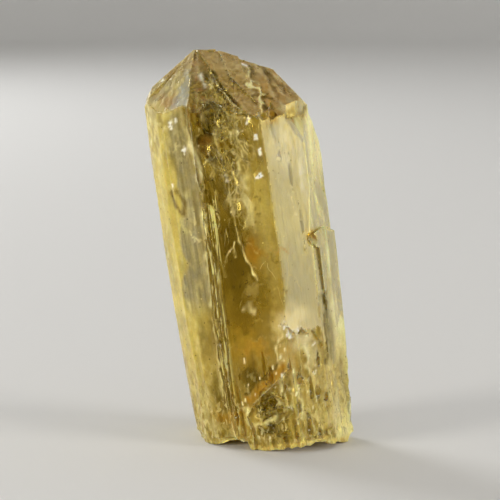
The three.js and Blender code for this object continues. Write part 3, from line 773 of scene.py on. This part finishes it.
lay_spots((0.7, 0.47, 0.06), 0.34, (0.8, -1.3, 11.0, 2.0, 2.3))
lay_spots((0.72, 0.42, 0.05), 0.45, (0.7, -0.5, 11.5, 1.2, 0.7))
lay_spots(DARK, 0.05, (0.75, -1.3, 8.3, 0.9, 1.3))
print("clearest place: milk", round(float(cloud.min()), 3))

# %% Cream ledge above the foot, and fine wisps
lay(0.6 * spot(3.4, 13.9, 1.7, 1.2), (0.88, 0.8, 0.48), 0.8, 0.3)
lay(0.7 * spot(3.7, 13.9, 1.0, 0.8), (0.9, 0.83, 0.56), 0.85, 0.4)
lay_spots((0.9, 0.78, 0.36), 0.7, (0.6, 1.7, 13.3, 0.6, 0.8))
lay_spots((0.93, 0.85, 0.55), 0.75,
          (0.8, 4.85, 10.6, 0.8, 1.7), (0.75, 3.8, 11.4, 0.9, 0.9), (0.5, 5.0, 8.0, 0.4, 1.2))
lay_spots((0.92, 0.8, 0.42), 0.65, (0.55, 5.2, 5.0, 1.5, 2.8), (0.5, 3.0, 8.0, 0.8, 1.4),
          (0.6, 2.2, 9.6, 0.6, 0.8), (0.6, 4.6, 2.8, 1.2, 0.9))
lay_spots((0.8, 0.6, 0.2), 0.55, (0.8, 2.6, 10.1, 0.7, 1.0))
lay_lines(CREAM, 0.85, (0.9, 0.15, 0.7, (2.2, 12.7), (1.76, 11.85), (1.43, 10.2), (1.73, 9.0), (1.86, 8.2)))
# Painted shade along the notch on the right face.
lay_lines((0.25, 0.22, 0.1), 0.15, (0.7, 0.13, 0.5, (6.9, 14.8), (6.5, 13.3), (6.4, 11.0), (6.15, 8.4)))
# Painted glints below the broad face's lower edge.
lay_lines(HIGHLIGHT_WHITE, 0.95, (0.8, 0.14, 1.5, (2.6, 13.4), (3.2, 12.9), (4.0, 12.7)))
lay_spots(CREAM, 0.8, (0.9, -0.55, 15.3, 0.36, 0.42))
lay_spots((0.8, 0.66, 0.26), 0.4, (0.7, -0.1, 17.2, 0.5, 1.0))
lay_spots((0.66, 0.47, 0.07), 0.25, (0.5, -2.6, 13.0, 0.7, 3.0), (0.5, 0.6, 14.5, 1.2, 1.6))
wisps = random.Random(5)
for _ in range(46):
    wx, wz = wisps.gauss(0.2, 1.3), wisps.uniform(12.5, 27)
    tip_end = (wx + wisps.uniform(-0.5, 0.5), wz + wisps.uniform(-0.6, 0.6))
    finish = ((0.92, 0.78, 0.3), 0.45) if wisps.random() < 0.6 else ((0.2, 0.13, 0.02), 0.05)
    lay_lines(*finish, (0.5, 0.08, 1.0, (wx, wz), tip_end))
print("wisps laid")

# %% [markdown]
# ## Foot
# The foot is the busiest part: an orange veil runs up across it, the pocket's ripples are ringed
# by painted highlights with painted shade, black green, in the holes between them, cream lines run
# down its right half, and the broken edge is painted a bright honey that stands for light shining
# through it from behind.

# %% Orange veil, and a painted honey glow on the edge
VEIL = [(-1.7, 6.3), (-0.8, 7.05), (0.15, 7.75), (1.0, 8.45), (1.9, 9.2)]
lay(trace(VEIL, 0.55, 0.12) * (0.9 + 0.2 * mottled), (0.7, 0.39, 0.04), 0.5)
lay_spots((0.74, 0.45, 0.06), 0.5, (0.8, -3.7, 4.75, 1.3, 0.45))
lay_lines(DARK, 0.05, (0.6, 0.14, 0.3, *moved(VEIL, -0.4, 0.5)))
lay_lines(CREAM, 0.7, (0.6, 0.09, 0.3, *moved(VEIL, 0.35, -0.42)))
over_edge = above_ground(points) - arch(points)
# Painted glow: the broken edge and the foot just above it are painted bright honey for light shining through them.
lay(0.9 * between(over_edge, -0.4, 0.5, 0.2) * ramp(x, -6.2, -4.8) * on_front, (0.97, 0.76, 0.3), 0.75)
lay(0.5 * between(over_edge, 0.3, 1.6, 0.4) * spot(-0.3, 1.8, 2.2, 1.6), (0.8, 0.62, 0.18), 0.5, 0.15)
print("veil and edge laid")

# %% Pocket, with painted highlights and shade
# Painted shade: black green in the holes of the pocket.
lay_spots((0.03, 0.022, 0.003), 0.03, (0.9, -0.39, 4.9, 0.4, 0.3), (0.9, 0.51, 5.6, 0.28, 0.4),
          (0.9, -0.84, 5.2, 0.3, 0.35), (0.9, 0.77, 5.2, 0.25, 0.25), (0.9, -0.2, 6.1, 0.3, 0.25))
# Painted highlights on the crests of the pocket's ripples.
for cx, cz, rx, rz in ((0.1, 6.4, 0.6, 0.75), (0.05, 6.5, 0.4, 0.5), (0.1, 5.7, 0.95, 1.0),
                       (-0.3, 6.5, 0.25, 0.3), (0.0, 5.3, 0.5, 0.4)):
    ring = [(cx + rx * math.cos(a * math.pi / 8), cz + rz * math.sin(a * math.pi / 8)) for a in range(17)]
    lay((0.7 + 0.5 * mottled) * trace(ring, 0.07, 0.6), (0.95, 0.84, 0.36), 0.7)
# Painted highlights along the pocket's rim, and a pale spot at its left end.
crescent = [(-2.2, 5.3), (-2.05, 4.6), (-1.95, 3.9), (-1.5, 3.55), (-0.6, 3.7), (0.1, 3.95), (0.7, 4.3)]
lay_lines((0.97, 0.87, 0.43), 0.8, (1.0, 0.2, 0.4, *crescent),
          (0.9, 0.11, 0.4, (-1.3, 4.5), (-0.7, 4.2), (0.0, 4.35), (0.6, 4.8)))
lay_spots((0.96, 0.86, 0.45), 0.8, (0.8, -2.3, 5.2, 0.5, 0.35))
lay_spots((0.06, 0.05, 0.01), 0.05, (0.85, -0.16, 3.0, 0.7, 0.35))
lay_spots((0.42, 0.27, 0.06), 0.18, (0.9, -3.85, 6.2, 0.7, 0.75))
for line in ([(1.46, 8.0), (1.2, 6.8), (1.07, 5.7)], [(2.2, 7.2), (2.6, 6.0), (2.1, 5.0)],
             [(3.27, 8.6), (3.2, 6.8), (3.35, 5.0), (3.14, 4.0)], [(4.3, 11.0), (4.2, 9.0), (4.4, 7.2)]):
    lay_lines((0.96, 0.9, 0.58), 0.85, (0.9, 0.16, 0.8, *line))
print("pocket laid")

# %% [markdown]
# ## Shattered corner
# The edges of the broken facets catch the light; this is painted as a web of bright lines, painted
# highlights, with a green black hollow and a red brown stain among them. The borders of the Voronoi
# cells that shaped the facets are used again here, so each painted edge lies on a real one, and thin
# bright strands run across it, as from deeper cracks.

# %% Web of painted highlights on the facet edges
web = shattered(points) * on_front * (1 - wall) * (1 - 0.92 * satin_face)
hollow = 1.3 * spot(-2.3, 32.9, 0.6, 0.85) + spot(-2.8, 32.0, 0.35, 0.5)
hollow = held(hollow - 0.5 * held(grain(points, 0.35, 0.5, 13.0)))
stain = held(1.1 * spot(-2.3, 31.5, 1.0, 0.7))
web *= (1 - 0.95 * hollow) * (1 - 0.5 * stain)
lay((0.75 - 0.45 * ramp(z, 33.0, 34.5)) * web, (0.2, 0.135, 0.025), 0.08)
# Painted highlights along the facet edges.
rim_highlights = facets(points, web)[1] * web
lay(0.95 * rim_highlights, (0.97, 0.86, 0.4), 0.7)
strands = random.Random(23)
for _ in range(64):
    px, pz = strands.gauss(-0.9, 1.3), strands.uniform(27, 37.5)
    px -= 0.12 * (pz - 32)
    heading = math.radians(strands.choice((-62, -75, -50, -100, 235)) + strands.uniform(-14, 14))
    strand = [(px, pz)]
    for _ in range(strands.randint(3, 8)):
        heading += strands.uniform(-0.35, 0.35)
        px, pz = px + 0.42 * math.cos(heading), pz + 0.42 * math.sin(heading)
        strand.append((px, pz))
    ribbon = trace(strand, strands.uniform(0.06, 0.12), 0.4)
    lay((0.7 + 0.5 * mottled) * held(3 * web) * ribbon, (0.99, 0.9, 0.5), 0.8)
lay(hollow, (0.008, 0.012, 0.002), 0.02)
lay(0.85 * stain * (1 - 0.6 * rim_highlights), (0.36, 0.15, 0.035), 0.2)
lay_lines((0.66, 0.38, 0.14), 0.48, (0.8, 0.42, 1.2, (-3.0, 34.4), (-2.6, 35.5), (-2.3, 36.9)))
lay_spots((0.6, 0.42, 0.17), 0.45, (0.6, -1.8, 35.4, 0.7, 1.1))
print("web covers", int((web > 0.3).sum()), "points")

# %% Valley and ledge on the tip, with painted shade and highlights
LEDGE = [(2.36, 38.1), (2.36, 36.6), (3.1, 36.3), (3.6, 35.9), (3.35, 35.3), (3.6, 34.7), (3.1, 34.05)]
lay_spots((0.8, 0.6, 0.34), 0.68, (0.95, -2.45, 38.2, 0.5, 1.2))
lay_lines((0.6, 0.4, 0.17), 0.55, (0.8, 0.3, 0.5, (-2.2, 39.4), (-1.5, 38.8), (-0.9, 38.1), (-0.5, 37.5)))
# Painted shade in the valley, and a painted highlight on the sliver beside it.
lay_lines((0.13, 0.085, 0.015), 0.05, (1.0, 0.17, 0.4, *VALLEY))
lay_lines((0.74, 0.56, 0.26), 0.7, (0.7, 0.1, 0.4, *moved(VALLEY, -0.28, -0.1)))
# Painted highlight: a white sliver on the edge of the valley.
lay_lines(HIGHLIGHT_WHITE, 1.0, (1.4, 0.13, 0.2, (-2.15, 38.1), (-2.04, 37.5), (-1.88, 36.9)))
lay_lines((0.66, 0.33, 0.12), 0.45, (0.75, 0.15, 0.3, (-2.55, 37.7), (-2.35, 36.8), (-2.15, 35.9)))
# Painted shadow beside the ledge, then a painted highlight on the ledge itself with bright spots.
lay_lines((0.24, 0.15, 0.04), 0.1, (0.7, 0.2, 0.8, *moved(LEDGE, 0.35, -0.1)))
lay_lines((0.95, 0.88, 0.5), 0.85, (1.2, 0.17, 0.9, *LEDGE))
lay_spots((0.93, 0.86, 0.5), 0.85,
          (0.9, 3.5, 34.65, 0.3, 0.28), (0.8, 3.6, 35.9, 0.25, 0.25), (0.7, 2.45, 36.5, 0.22, 0.2))
# Painted shade in the notches beside the ledge.
lay_spots((0.2, 0.12, 0.02), 0.05,
          (1.0, 3.9, 35.3, 0.22, 0.35), (0.9, 3.85, 34.2, 0.3, 0.22), (0.6, 2.8, 35.5, 0.3, 0.4))
lay_spots((0.66, 0.58, 0.32), 0.6, (0.8, 5.7, 34.0, 0.7, 0.4))
# Painted highlight: a pale strip on top of the small step, with painted shade below it.
lay_spots((0.8, 0.72, 0.44), 0.75, (0.7, 5.7, 34.05, 0.5, 0.15))
lay_spots((0.4, 0.27, 0.1), 0.25, (0.7, 5.9, 33.35, 0.8, 0.25))
lay_spots((0.42, 0.36, 0.18), 0.3, (0.6, 7.2, 33.5, 0.3, 0.3), (0.6, 5.4, 33.4, 0.25, 0.3))
print("valley and ledge laid")

# %% [markdown]
# ## Lines, painted glints and the front edge
# Long cracks show as bright lines, the striae beside the front edge as broken streaks of light,
# and the larger bubbles as painted white glints with a dull halo; more painted glints are strewn
# over the foot and the shattered corner. The front edge is painted as a pale line with a dark one
# beside it.

# %% Bright lines
HEALED_CRACKS = [
    [(-1.42, 32.6), (-1.42, 31.1), (-1.07, 29.8), (-0.81, 28.4), (-0.81, 26.4), (-0.91, 24.9), (-0.82, 23.3),
     (-0.58, 22.0), (-0.31, 20.9), (0.22, 19.3), (0.49, 18.2)],
    [(-0.99, 22.0), (-1.53, 21.2), (-2.17, 20.4), (-2.47, 19.8), (-2.3, 18.7)],
    [(-1.26, 21.6), (-1.23, 20.3)],
]
GOLD_STREAK = [(-3.65, 24.9), (-3.72, 23.5), (-3.78, 22.4), (-3.6, 21.4), (-3.4, 20.3), (-3.25, 18.8),
               (-3.4, 17.5), (-3.6, 14.2)]
lay_lines(DARK, 0.03, (0.7, 0.16, 0.3, *moved(HEALED_CRACKS[0], -0.25)))
for line, width in zip(HEALED_CRACKS, (0.13, 0.1, 0.08)):
    lay((0.95 + 0.7 * mottled) * trace(line, width, 0.45), STRAW, 0.85)
for line, *_ in FISSURES:
    lay((0.75 + 0.6 * mottled) * trace(line, 0.12, 0.35), STRAW, 0.6)
lay_lines((0.22, 0.15, 0.02), 0.05, (0.75, 0.28, 0.15, (-2.7, 26.8), (-2.5, 24.0), (-2.35, 22.0), (-2.4, 18.0)))
lay_lines((0.2, 0.14, 0.02), 0.05, (0.7, 0.18, 0.15, *moved(GOLD_STREAK, 0.42)))
lay((0.9 + 0.9 * grain(points, 0.5, 1.6, 91.0)) * trace(GOLD_STREAK, 0.27, 0.12), (1.0, 0.9, 0.44), 0.9)
lay_lines((0.17, 0.12, 0.02), 0.06, (0.85, 0.22, 0.15, (-2.95, 26.3), (-3.0, 24.8), (-3.05, 23.4)))
lay_lines((0.99, 0.88, 0.42), 0.7,
          (0.8, 0.08, 0.5, (-2.46, 25.9), (-2.25, 24.7), (-2.61, 23.0), (-2.68, 21.3), (-2.94, 19.2)))
lay_lines((0.42, 0.3, 0.08), 0.3,
          (0.85, 0.15, 0.3, (-6.6, 27.3), (-6.32, 26.0), (-5.6, 24.9), (-5.31, 26.2), (-5.98, 27.5)))
lay_lines(CREAM, 0.9, (0.8, 0.09, 0.6, (-5.3, 23.3), (-4.5, 22.3)),
          (0.7, 0.07, 0.3, (-4.55, 25.4), (-4.65, 24.0)), (0.7, 0.07, 0.3, (-4.8, 23.4), (-4.9, 22.2)))
lay_spots((0.8, 0.74, 0.48), 0.6, (0.65, -3.4, 31.4, 0.22, 0.8))
lay_spots((0.28, 0.18, 0.05), 0.1, (0.7, -1.95, 30.7, 0.3, 0.9))
lay_spots((0.5, 0.42, 0.2), 0.45, (0.5, 3.0, 32.7, 0.6, 0.8))
frost = np.maximum(frost, 0.45 * spot(-3.05, 24.5, 0.35, 1.2))
print("bright lines laid")

# %% Painted glints and the front edge
glint_dice = random.Random(31)
# Painted glints: a dull halo and three white dots at each bubble.
for cx, cz in GLINTS:
    lay_lines((0.55, 0.45, 0.16), 0.3, (0.5, 0.22, 0.6, (cx, cz), (cx + 0.04, cz + 0.1)))
    for _ in range(3):
        sx, sz = cx + glint_dice.uniform(-0.16, 0.16), cz + glint_dice.uniform(-0.2, 0.2)
        lay(1.5 * trace([(sx, sz), (sx + 0.02, sz + 0.06)], 0.08, 0.1), HIGHLIGHT_WHITE, 1.0, 0.12)
# Painted glints strewn over the foot and the shattered corner.
for _ in range(60):
    if glint_dice.random() < 0.6:
        sx, sz = glint_dice.uniform(-2.5, 5.8), glint_dice.uniform(2.0, 12.0)
    else:
        sx, sz = glint_dice.gauss(-0.8, 1.1), glint_dice.uniform(28, 36)
    painted_glint = [(sx, sz), (sx + 0.03, sz + glint_dice.uniform(0.05, 0.35))]
    lay_lines((1.0, 0.95, 0.7), 0.95, (1.2, 0.07, 0.2, *painted_glint))
# Larger painted glints, one by one.
for line in ([(-5.85, 33.75), (-5.6, 33.95)], [(-5.05, 34.2), (-5.0, 33.95)], [(2.5, 30.5), (2.55, 30.2)],
             [(2.3, 31.9), (2.35, 31.6)], [(2.25, 28.3), (2.45, 28.15)], [(-0.98, 28.5), (-1.02, 27.9)],
             [(-6.1, 37.85), (-5.85, 38.05)], [(2.0, 38.6), (2.4, 38.2)]):
    lay(1.4 * trace(line, 0.1, 0.3), HIGHLIGHT_WHITE, 1.0, 0.1)
lay_lines((0.16, 0.11, 0.015), 0.03, (0.7, 0.13, 0.5, *moved(EDGE, 0.22)))
lay_lines((0.96, 0.88, 0.48), 0.7, (0.85, 0.12, 0.5, *EDGE))
lay_lines((1.0, 0.93, 0.58), 0.85, (1.1, 0.26, 0.2, (-4.0, 31.8), (-3.7, 30.9), (-3.5, 29.4), (-3.55, 28.2)))
print(len(GLINTS), "glints")

# %% [markdown]
# ## Handing the paint to the material
# Crack walls are clean, so they lose all milk, and the stained ones turn orange. A few more
# masks tell the material where its fine patterns belong: the web, the ribs, the etched foot, and
# the calm faces that hardly have any. Each is written as a named attribute, one value a point.

# %% Attributes
cloud = cloud * (1 - wall)
frost = frost * (1 - wall) + 0.03 * wall + 0.3 * iron
tint = tint * (1 - wall[:, None]) + np.array([0.95, 0.85, 0.5]) * (wall - iron)[:, None]
tint += np.array(ORANGE) * iron[:, None]
rib = window((0.1, 1.3, 0.3), (5, 29, 2), from_edge)
rib = np.maximum(rib, 0.12 * painted_reflection_band)
rib = np.maximum(rib, 0.22 * (1 - on_front) * (1 - ramp(looks[:, 2], 0.3, 0.5))) * (1 - wall)
veil = trace(VEIL, 0.7)
etched = low * (1 - wall) * (1 - 0.8 * veil)
calm = 0.8 * painted_sheen_face + 0.8 * veil + 0.35 * left_side + 0.5 * right_side
masks = {"cloud": cloud, "frost": frost, "web": web, "rib": rib, "etched": etched, "calm": calm}
for name, values in masks.items():
    field = mesh.attributes.new(name, "FLOAT", "POINT")
    field.data.foreach_set("value", held(values).astype(np.float32))
    print(name, "on average", round(float(held(values).mean()), 3))
colours = np.ones((len(points), 4), dtype=np.float32)
colours[:, :3] = held(tint * (1.0, 0.985, 0.92))
colours[:, 1] *= 1 - 0.02 * (1 - ramp(z, 8, 22))
colours[:, 2] *= 1 - 0.18 * low
mesh.attributes.new("tint", "FLOAT_COLOR", "POINT").data.foreach_set("color", colours.ravel())

# %% [markdown]
# ## Topaz
# Topaz bends light by 1.62. One Principled shader carries the whole crystal: where it is clear,
# transmission; where it is milky, diffuse light that spreads a few tenths of a millimetre under
# the skin, which subsurface scattering gives. The number that blends the two comes from the
# painted cloud. A yellow specular tint keeps reflections of the pale room from greying the gold.

# %% Shader
topaz = skin_finish
topaz.name = "topaz"
topaz.use_nodes = True
nodes = topaz.node_tree.nodes
links = topaz.node_tree.links
shader = nodes["Principled BSDF"]
for name, value in (("IOR", 1.62), ("Specular Tint", (0.85, 0.68, 0.13, 1)), ("Subsurface Weight", 1.0),
                    ("Subsurface Radius", (0.45, 0.38, 0.22)), ("Subsurface Scale", MM)):
    shader.inputs[name].default_value = value
mesh.materials.clear()
mesh.materials.append(topaz)
print("shader with IOR", round(shader.inputs["IOR"].default_value, 2))

# %% [markdown]
# ## Short names for nodes
# A node tree built in code is mostly adding nodes and linking them. One helper adds a node, and
# short names for the kinds used here give back its output, so that a pattern reads like a sum.


# %% Helpers for nodes
def feed(socket, value):
    """Links an output to a socket, or sets the socket to a number, a vector or a colour."""
    if isinstance(value, bpy.types.NodeSocket):
        links.new(value, socket)
    elif isinstance(value, tuple):
        socket.default_value = (*value, 1)[:len(socket.default_value)]
    else:
        socket.default_value = value


def add(kind, output, inputs, **settings):
    """Adds a node, sets it up and feeds its inputs, and gives back one of its outputs."""
    node = nodes.new("ShaderNode" + kind)
    for key, value in settings.items():
        setattr(node, key, value)
    for key, value in inputs.items():
        feed(node.inputs[key], value)
    return node.outputs[output]


def painted(name, output="Fac"):
    return add("Attribute", output, {}, attribute_name=name)


def mix(amount, first, second):
    return add("Mix", 2, {"Factor": amount, 6: first, 7: second}, data_type="RGBA")


def maths(kind, first, second, clamp=False):
    return add("Math", 0, {0: first, 1: second}, operation=kind, use_clamp=clamp)


def times(first, second):
    return maths("MULTIPLY", first, second)


def larger(first, second):
    return maths("MAXIMUM", first, second, True)


def steps(value, low, high, at_low=0.0, at_high=1.0):
    """A smooth step between two values."""
    inputs = {"Value": value, "From Min": low, "From Max": high, "To Min": at_low, "To Max": at_high}
    return add("MapRange", "Result", inputs, interpolation_type="SMOOTHSTEP")


print("node helpers ready")


# %% Patterns
def stretched(source, x, y, z):
    return add("Mapping", 0, {"Scale": (x, y, z), "Vector": source})


def clouds(source, scale, detail=3.0, output="Fac"):
    return add("TexNoise", output, {"Scale": scale, "Detail": detail, "Vector": source})


def cells(source, scale, feature="F1", output="Distance"):
    return add("TexVoronoi", output, {"Scale": scale, "Vector": source}, feature=feature)


def cell_number(source, scale):
    """A random number for each cell, the same all over the cell."""
    return add("SeparateColor", 0, {0: cells(source, scale, output="Color")})


def warped(source, scale, amount):
    """Places shifted by a noise, so that straight borders wander."""
    inputs = {0: clouds(source, scale, 3, "Color"), 1: (amount, amount, amount), 2: source}
    return add("VectorMath", 0, inputs, operation="MULTIPLY_ADD")


places = add("TexCoord", "Object", {})
mm = add("Mapping", 0, {"Rotation": (0, LEAN, 0), "Scale": (1 / MM, 1 / MM, 1 / MM), "Vector": places})
streak = clouds(stretched(mm, 3.2, 3.2, 0.14), 1.0, 4)
fine_streak = clouds(stretched(mm, 9.0, 9.0, 0.5), 1.0, 3)
mottle = clouds(mm, 1.1, 5)
grit = clouds(mm, 5.0, 3)
print("patterns in millimetres along the crystal")

# %% [markdown]
# ## Fine patterns
# The paint is as fine as the grid, about a tenth of a millimetre at best. Finer things come from
# the material: painted streaks of light along the ribs, painted highlights on the web's thin edges,
# chips of the etched foot, dark and pale dots, and hair-thin veins. Each is a noise or a Voronoi
# pattern cut by a step and held to its zone by a painted mask.

# %% Streaks, web, chips, dots and veins
rib_mask, web_mask, etched_mask = painted("rib"), painted("web"), painted("etched")
rib_grain = clouds(stretched(mm, 5.0, 5.0, 0.11), 1.0, 3)
ragged = maths("ADD", rib_grain, times(maths("SUBTRACT", grit, 0.5), 0.1))
flute = clouds(stretched(mm, 1.6, 1.6, 0.36), 1.0, 7)
light_streak = larger(times(steps(ragged, 0.54, 0.585), rib_mask),
                      times(steps(flute, 0.52, 0.6), times(etched_mask, 0.3)))
dark_streak = larger(times(steps(ragged, 0.475, 0.4), rib_mask),
                     times(steps(flute, 0.47, 0.38), times(etched_mask, 0.16)))

wandering = warped(mm, 0.9, 0.7)
web_space = stretched(wandering, 1.3, 1.3, 0.55)
# Painted highlights: the edges of the web's cells are made pale, for the light that the facet edges catch.
large_edge = steps(cells(web_space, 1.0, "DISTANCE_TO_EDGE"), 0.02, 0.1, 1.0, 0.0)
small_edge = steps(cells(web_space, 2.3, "DISTANCE_TO_EDGE"), 0.02, 0.12, 0.7, 0.0)
web_edge_highlight = times(times(larger(large_edge, small_edge), web_mask), steps(mottle, 0.4, 0.55, 0.1, 1.0))

chip_space = stretched(wandering, 2.4, 2.4, 1.1)
chip = maths("ADD", times(cell_number(chip_space, 1.0), 0.55), times(cell_number(chip_space, 2.1), 0.45))
chip_zone = larger(times(etched_mask, steps(mottle, 0.38, 0.55, 0.35, 1.0)), times(web_mask, 0.6))
pale_chip = times(steps(chip, 0.56, 0.74), chip_zone)
dark_chip = times(steps(chip, 0.4, 0.22), chip_zone)

dot = steps(cells(mm, 1.5), 0.08, 0.16, 1.0, 0.0)
lottery = cell_number(mm, 1.5)
dark_dot = times(dot, steps(lottery, 0.6, 0.62))
pale_dot = times(dot, steps(lottery, 0.22, 0.2))
vein_space = stretched(warped(mm, 0.35, 1.6), 0.42, 0.42, 0.16)
vein = steps(cells(vein_space, 1.0, "DISTANCE_TO_EDGE"), 0.0, 0.022, 1.0, 0.0)
vein = times(vein, steps(clouds(mm, 0.45, 2), 0.5, 0.58))
vein = times(vein, maths("SUBTRACT", 0.7, times(etched_mask, 0.7)))
pale_mark = larger(pale_dot, vein)
print(len(nodes), "nodes so far")

# %% [markdown]
# ## Putting the finish together
# The patterns now raise or lower the painted values: pale marks add milk and a pale gold, dark
# ones take milk away and darken. Calm faces keep the noise low. Roughness follows the frost.

# %% Colour, milk and roughness
unrest = times(maths("SUBTRACT", 1.0, times(painted("calm"), 0.85)), maths("SUBTRACT", mottle, 0.5))
speckle = maths("ADD", steps(grit, 0.35, 0.65, 0.94, 1.06), times(unrest, 0.8))
milk = times(painted("cloud"), speckle)
for mark, amount in ((light_streak, 0.66), (pale_chip, 0.65), (web_edge_highlight, 0.8), (pale_mark, 0.65)):
    milk = larger(milk, times(mark, amount))
shade = larger(times(dark_streak, 0.65), times(dark_dot, 0.5))
shade = larger(shade, times(dark_chip, 0.28))
shade = larger(shade, times(web_mask, steps(mottle, 0.4, 0.52, 0.08, 0.75)))
milk = maths("MULTIPLY", milk, maths("SUBTRACT", 1.0, times(shade, 0.8)), True)

colour = mix(times(pale_chip, 0.75), painted("tint", "Color"), STRAW)
colour = mix(light_streak, colour, (0.98, 0.86, 0.34))
colour = mix(shade, colour, (0.13, 0.09, 0.01))
colour = mix(times(pale_mark, 0.6), colour, (0.93, 0.82, 0.4))
colour = mix(web_edge_highlight, colour, (0.95, 0.84, 0.36))
feed(shader.inputs["Base Color"], colour)
feed(shader.inputs["Transmission Weight"], maths("SUBTRACT", 1.0, milk, True))
rough = larger(painted("frost"), times(web_edge_highlight, 0.3))
feed(shader.inputs["Roughness"], maths("MULTIPLY", rough, maths("ADD", 1.0, unrest), True))
print("colour, milk and roughness linked")

# %% [markdown]
# ## Touch and depth
# A bump of a few hundredths of a millimetre adds the finest striae, too small for the mesh. And
# inside, absorption gives the gold its depth: the further light travels, the more blue it loses.
# Its colour and strength are the same everywhere, so they are set on the node itself.

# %% Bump and absorption
relief = maths("ADD", maths("ADD", streak, times(fine_streak, 0.35)), times(grit, 0.25))
feed(shader.inputs["Normal"], add("Bump", 0, {"Distance": 0.06 * MM, "Strength": 0.7, "Height": relief}))
absorption = add("VolumeAbsorption", 0, {"Color": (0.82, 0.742, 0.018), "Density": 430})
feed(nodes["Material Output"].inputs["Volume"], absorption)
print("topaz has", len(nodes), "nodes")

# %% [markdown]
# ## Table and backdrop
# A clear crystal shows what stands around it, upside down and bent, so its surroundings are part
# of its look. It stands on a wide pale disc whose rim curves up into a wall, like the paper sweep
# of a small studio. The disc is a circle primitive, and its rim is extruded in steps, each ring
# scaled and raised a little further.

# %% Sweep
FLOOR_RADIUS = 0.9
COVE_RADIUS = 0.35
WALL_TOP = 1.1
deselect()
bpy.ops.mesh.primitive_circle_add(vertices=96, radius=FLOOR_RADIUS, fill_type="NGON")
sweep = bpy.context.object
sweep.name = "sweep"
rings = []
for i in range(1, 13):
    angle = math.radians(90 * i / 12)
    rings.append((FLOOR_RADIUS + COVE_RADIUS * math.sin(angle), COVE_RADIUS * (1 - math.cos(angle))))
rings.append((FLOOR_RADIUS + COVE_RADIUS, WALL_TOP))
reached, reached_height = FLOOR_RADIUS, 0.0
bpy.ops.object.mode_set(mode="EDIT")
bpy.ops.mesh.select_all(action="SELECT")
bpy.ops.mesh.region_to_loop()
for radius, ring_height in rings:
    bpy.ops.mesh.extrude_edges_move()
    grow = radius / reached
    bpy.ops.transform.resize(value=(grow, grow, 1), center_override=(0, 0, reached_height))
    bpy.ops.transform.translate(value=(0, 0, ring_height - reached_height))
    reached, reached_height = radius, ring_height
bpy.ops.object.mode_set(mode="OBJECT")
bpy.ops.object.shade_smooth_by_angle(angle=math.radians(30))
paper = bpy.data.materials.new("paper")
paper.use_nodes = True
paper_inputs = paper.node_tree.nodes["Principled BSDF"].inputs
paper_inputs["Base Color"].default_value = (0.72, 0.72, 0.71, 1)
paper_inputs["Roughness"].default_value = 0.9
sweep.data.materials.append(paper)
print("sweep", round(2 * reached, 2), "m across")

# %% [markdown]
# ## Light
# Soft light from the room fills the scene. Three small lamps stand low and far off, because a
# small lamp gives the sharp glints that make a stone look clear, where a large one would only
# make it pale. The lamps are hidden from the camera, which would otherwise see them in the wall.
# The Standard view keeps the yellows as strong as they are, where Blender's usual view greys them.


# %% Lamps and room
def lamp(name, place, size, power, colour):
    light = bpy.data.lights.new(name, "AREA")
    light.size = size
    light.energy = power
    light.color = colour
    holder = bpy.data.objects.new(name, light)
    bpy.context.scene.collection.objects.link(holder)
    holder.location = place
    holder.rotation_euler = (LOOK_AT - Vector(place)).to_track_quat("-Z", "Y").to_euler()
    holder.visible_camera = False
    print(name, power, "W")


lamp("right lamp", (0.6, -0.24, 0.15), 0.2, 2.3, (1.0, 0.96, 0.9))
lamp("left lamp", (-0.58, -0.3, 0.15), 0.2, 2.8, (1.0, 0.96, 0.9))
lamp("back lamp", (-0.45, 0.45, 0.22), 0.25, 2.5, (1.0, 1.0, 1.0))
room = bpy.data.worlds.new("room")
room.use_nodes = True
room_inputs = room.node_tree.nodes["Background"].inputs
room_inputs["Color"].default_value = (1.0, 0.98, 0.95, 1)
room_inputs["Strength"].default_value = 0.45
bpy.context.scene.world = room
bpy.context.scene.view_settings.view_transform = "Standard"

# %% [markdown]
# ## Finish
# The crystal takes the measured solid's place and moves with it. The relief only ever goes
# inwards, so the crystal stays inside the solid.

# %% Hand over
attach(crystal, "root")
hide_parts(NODE)
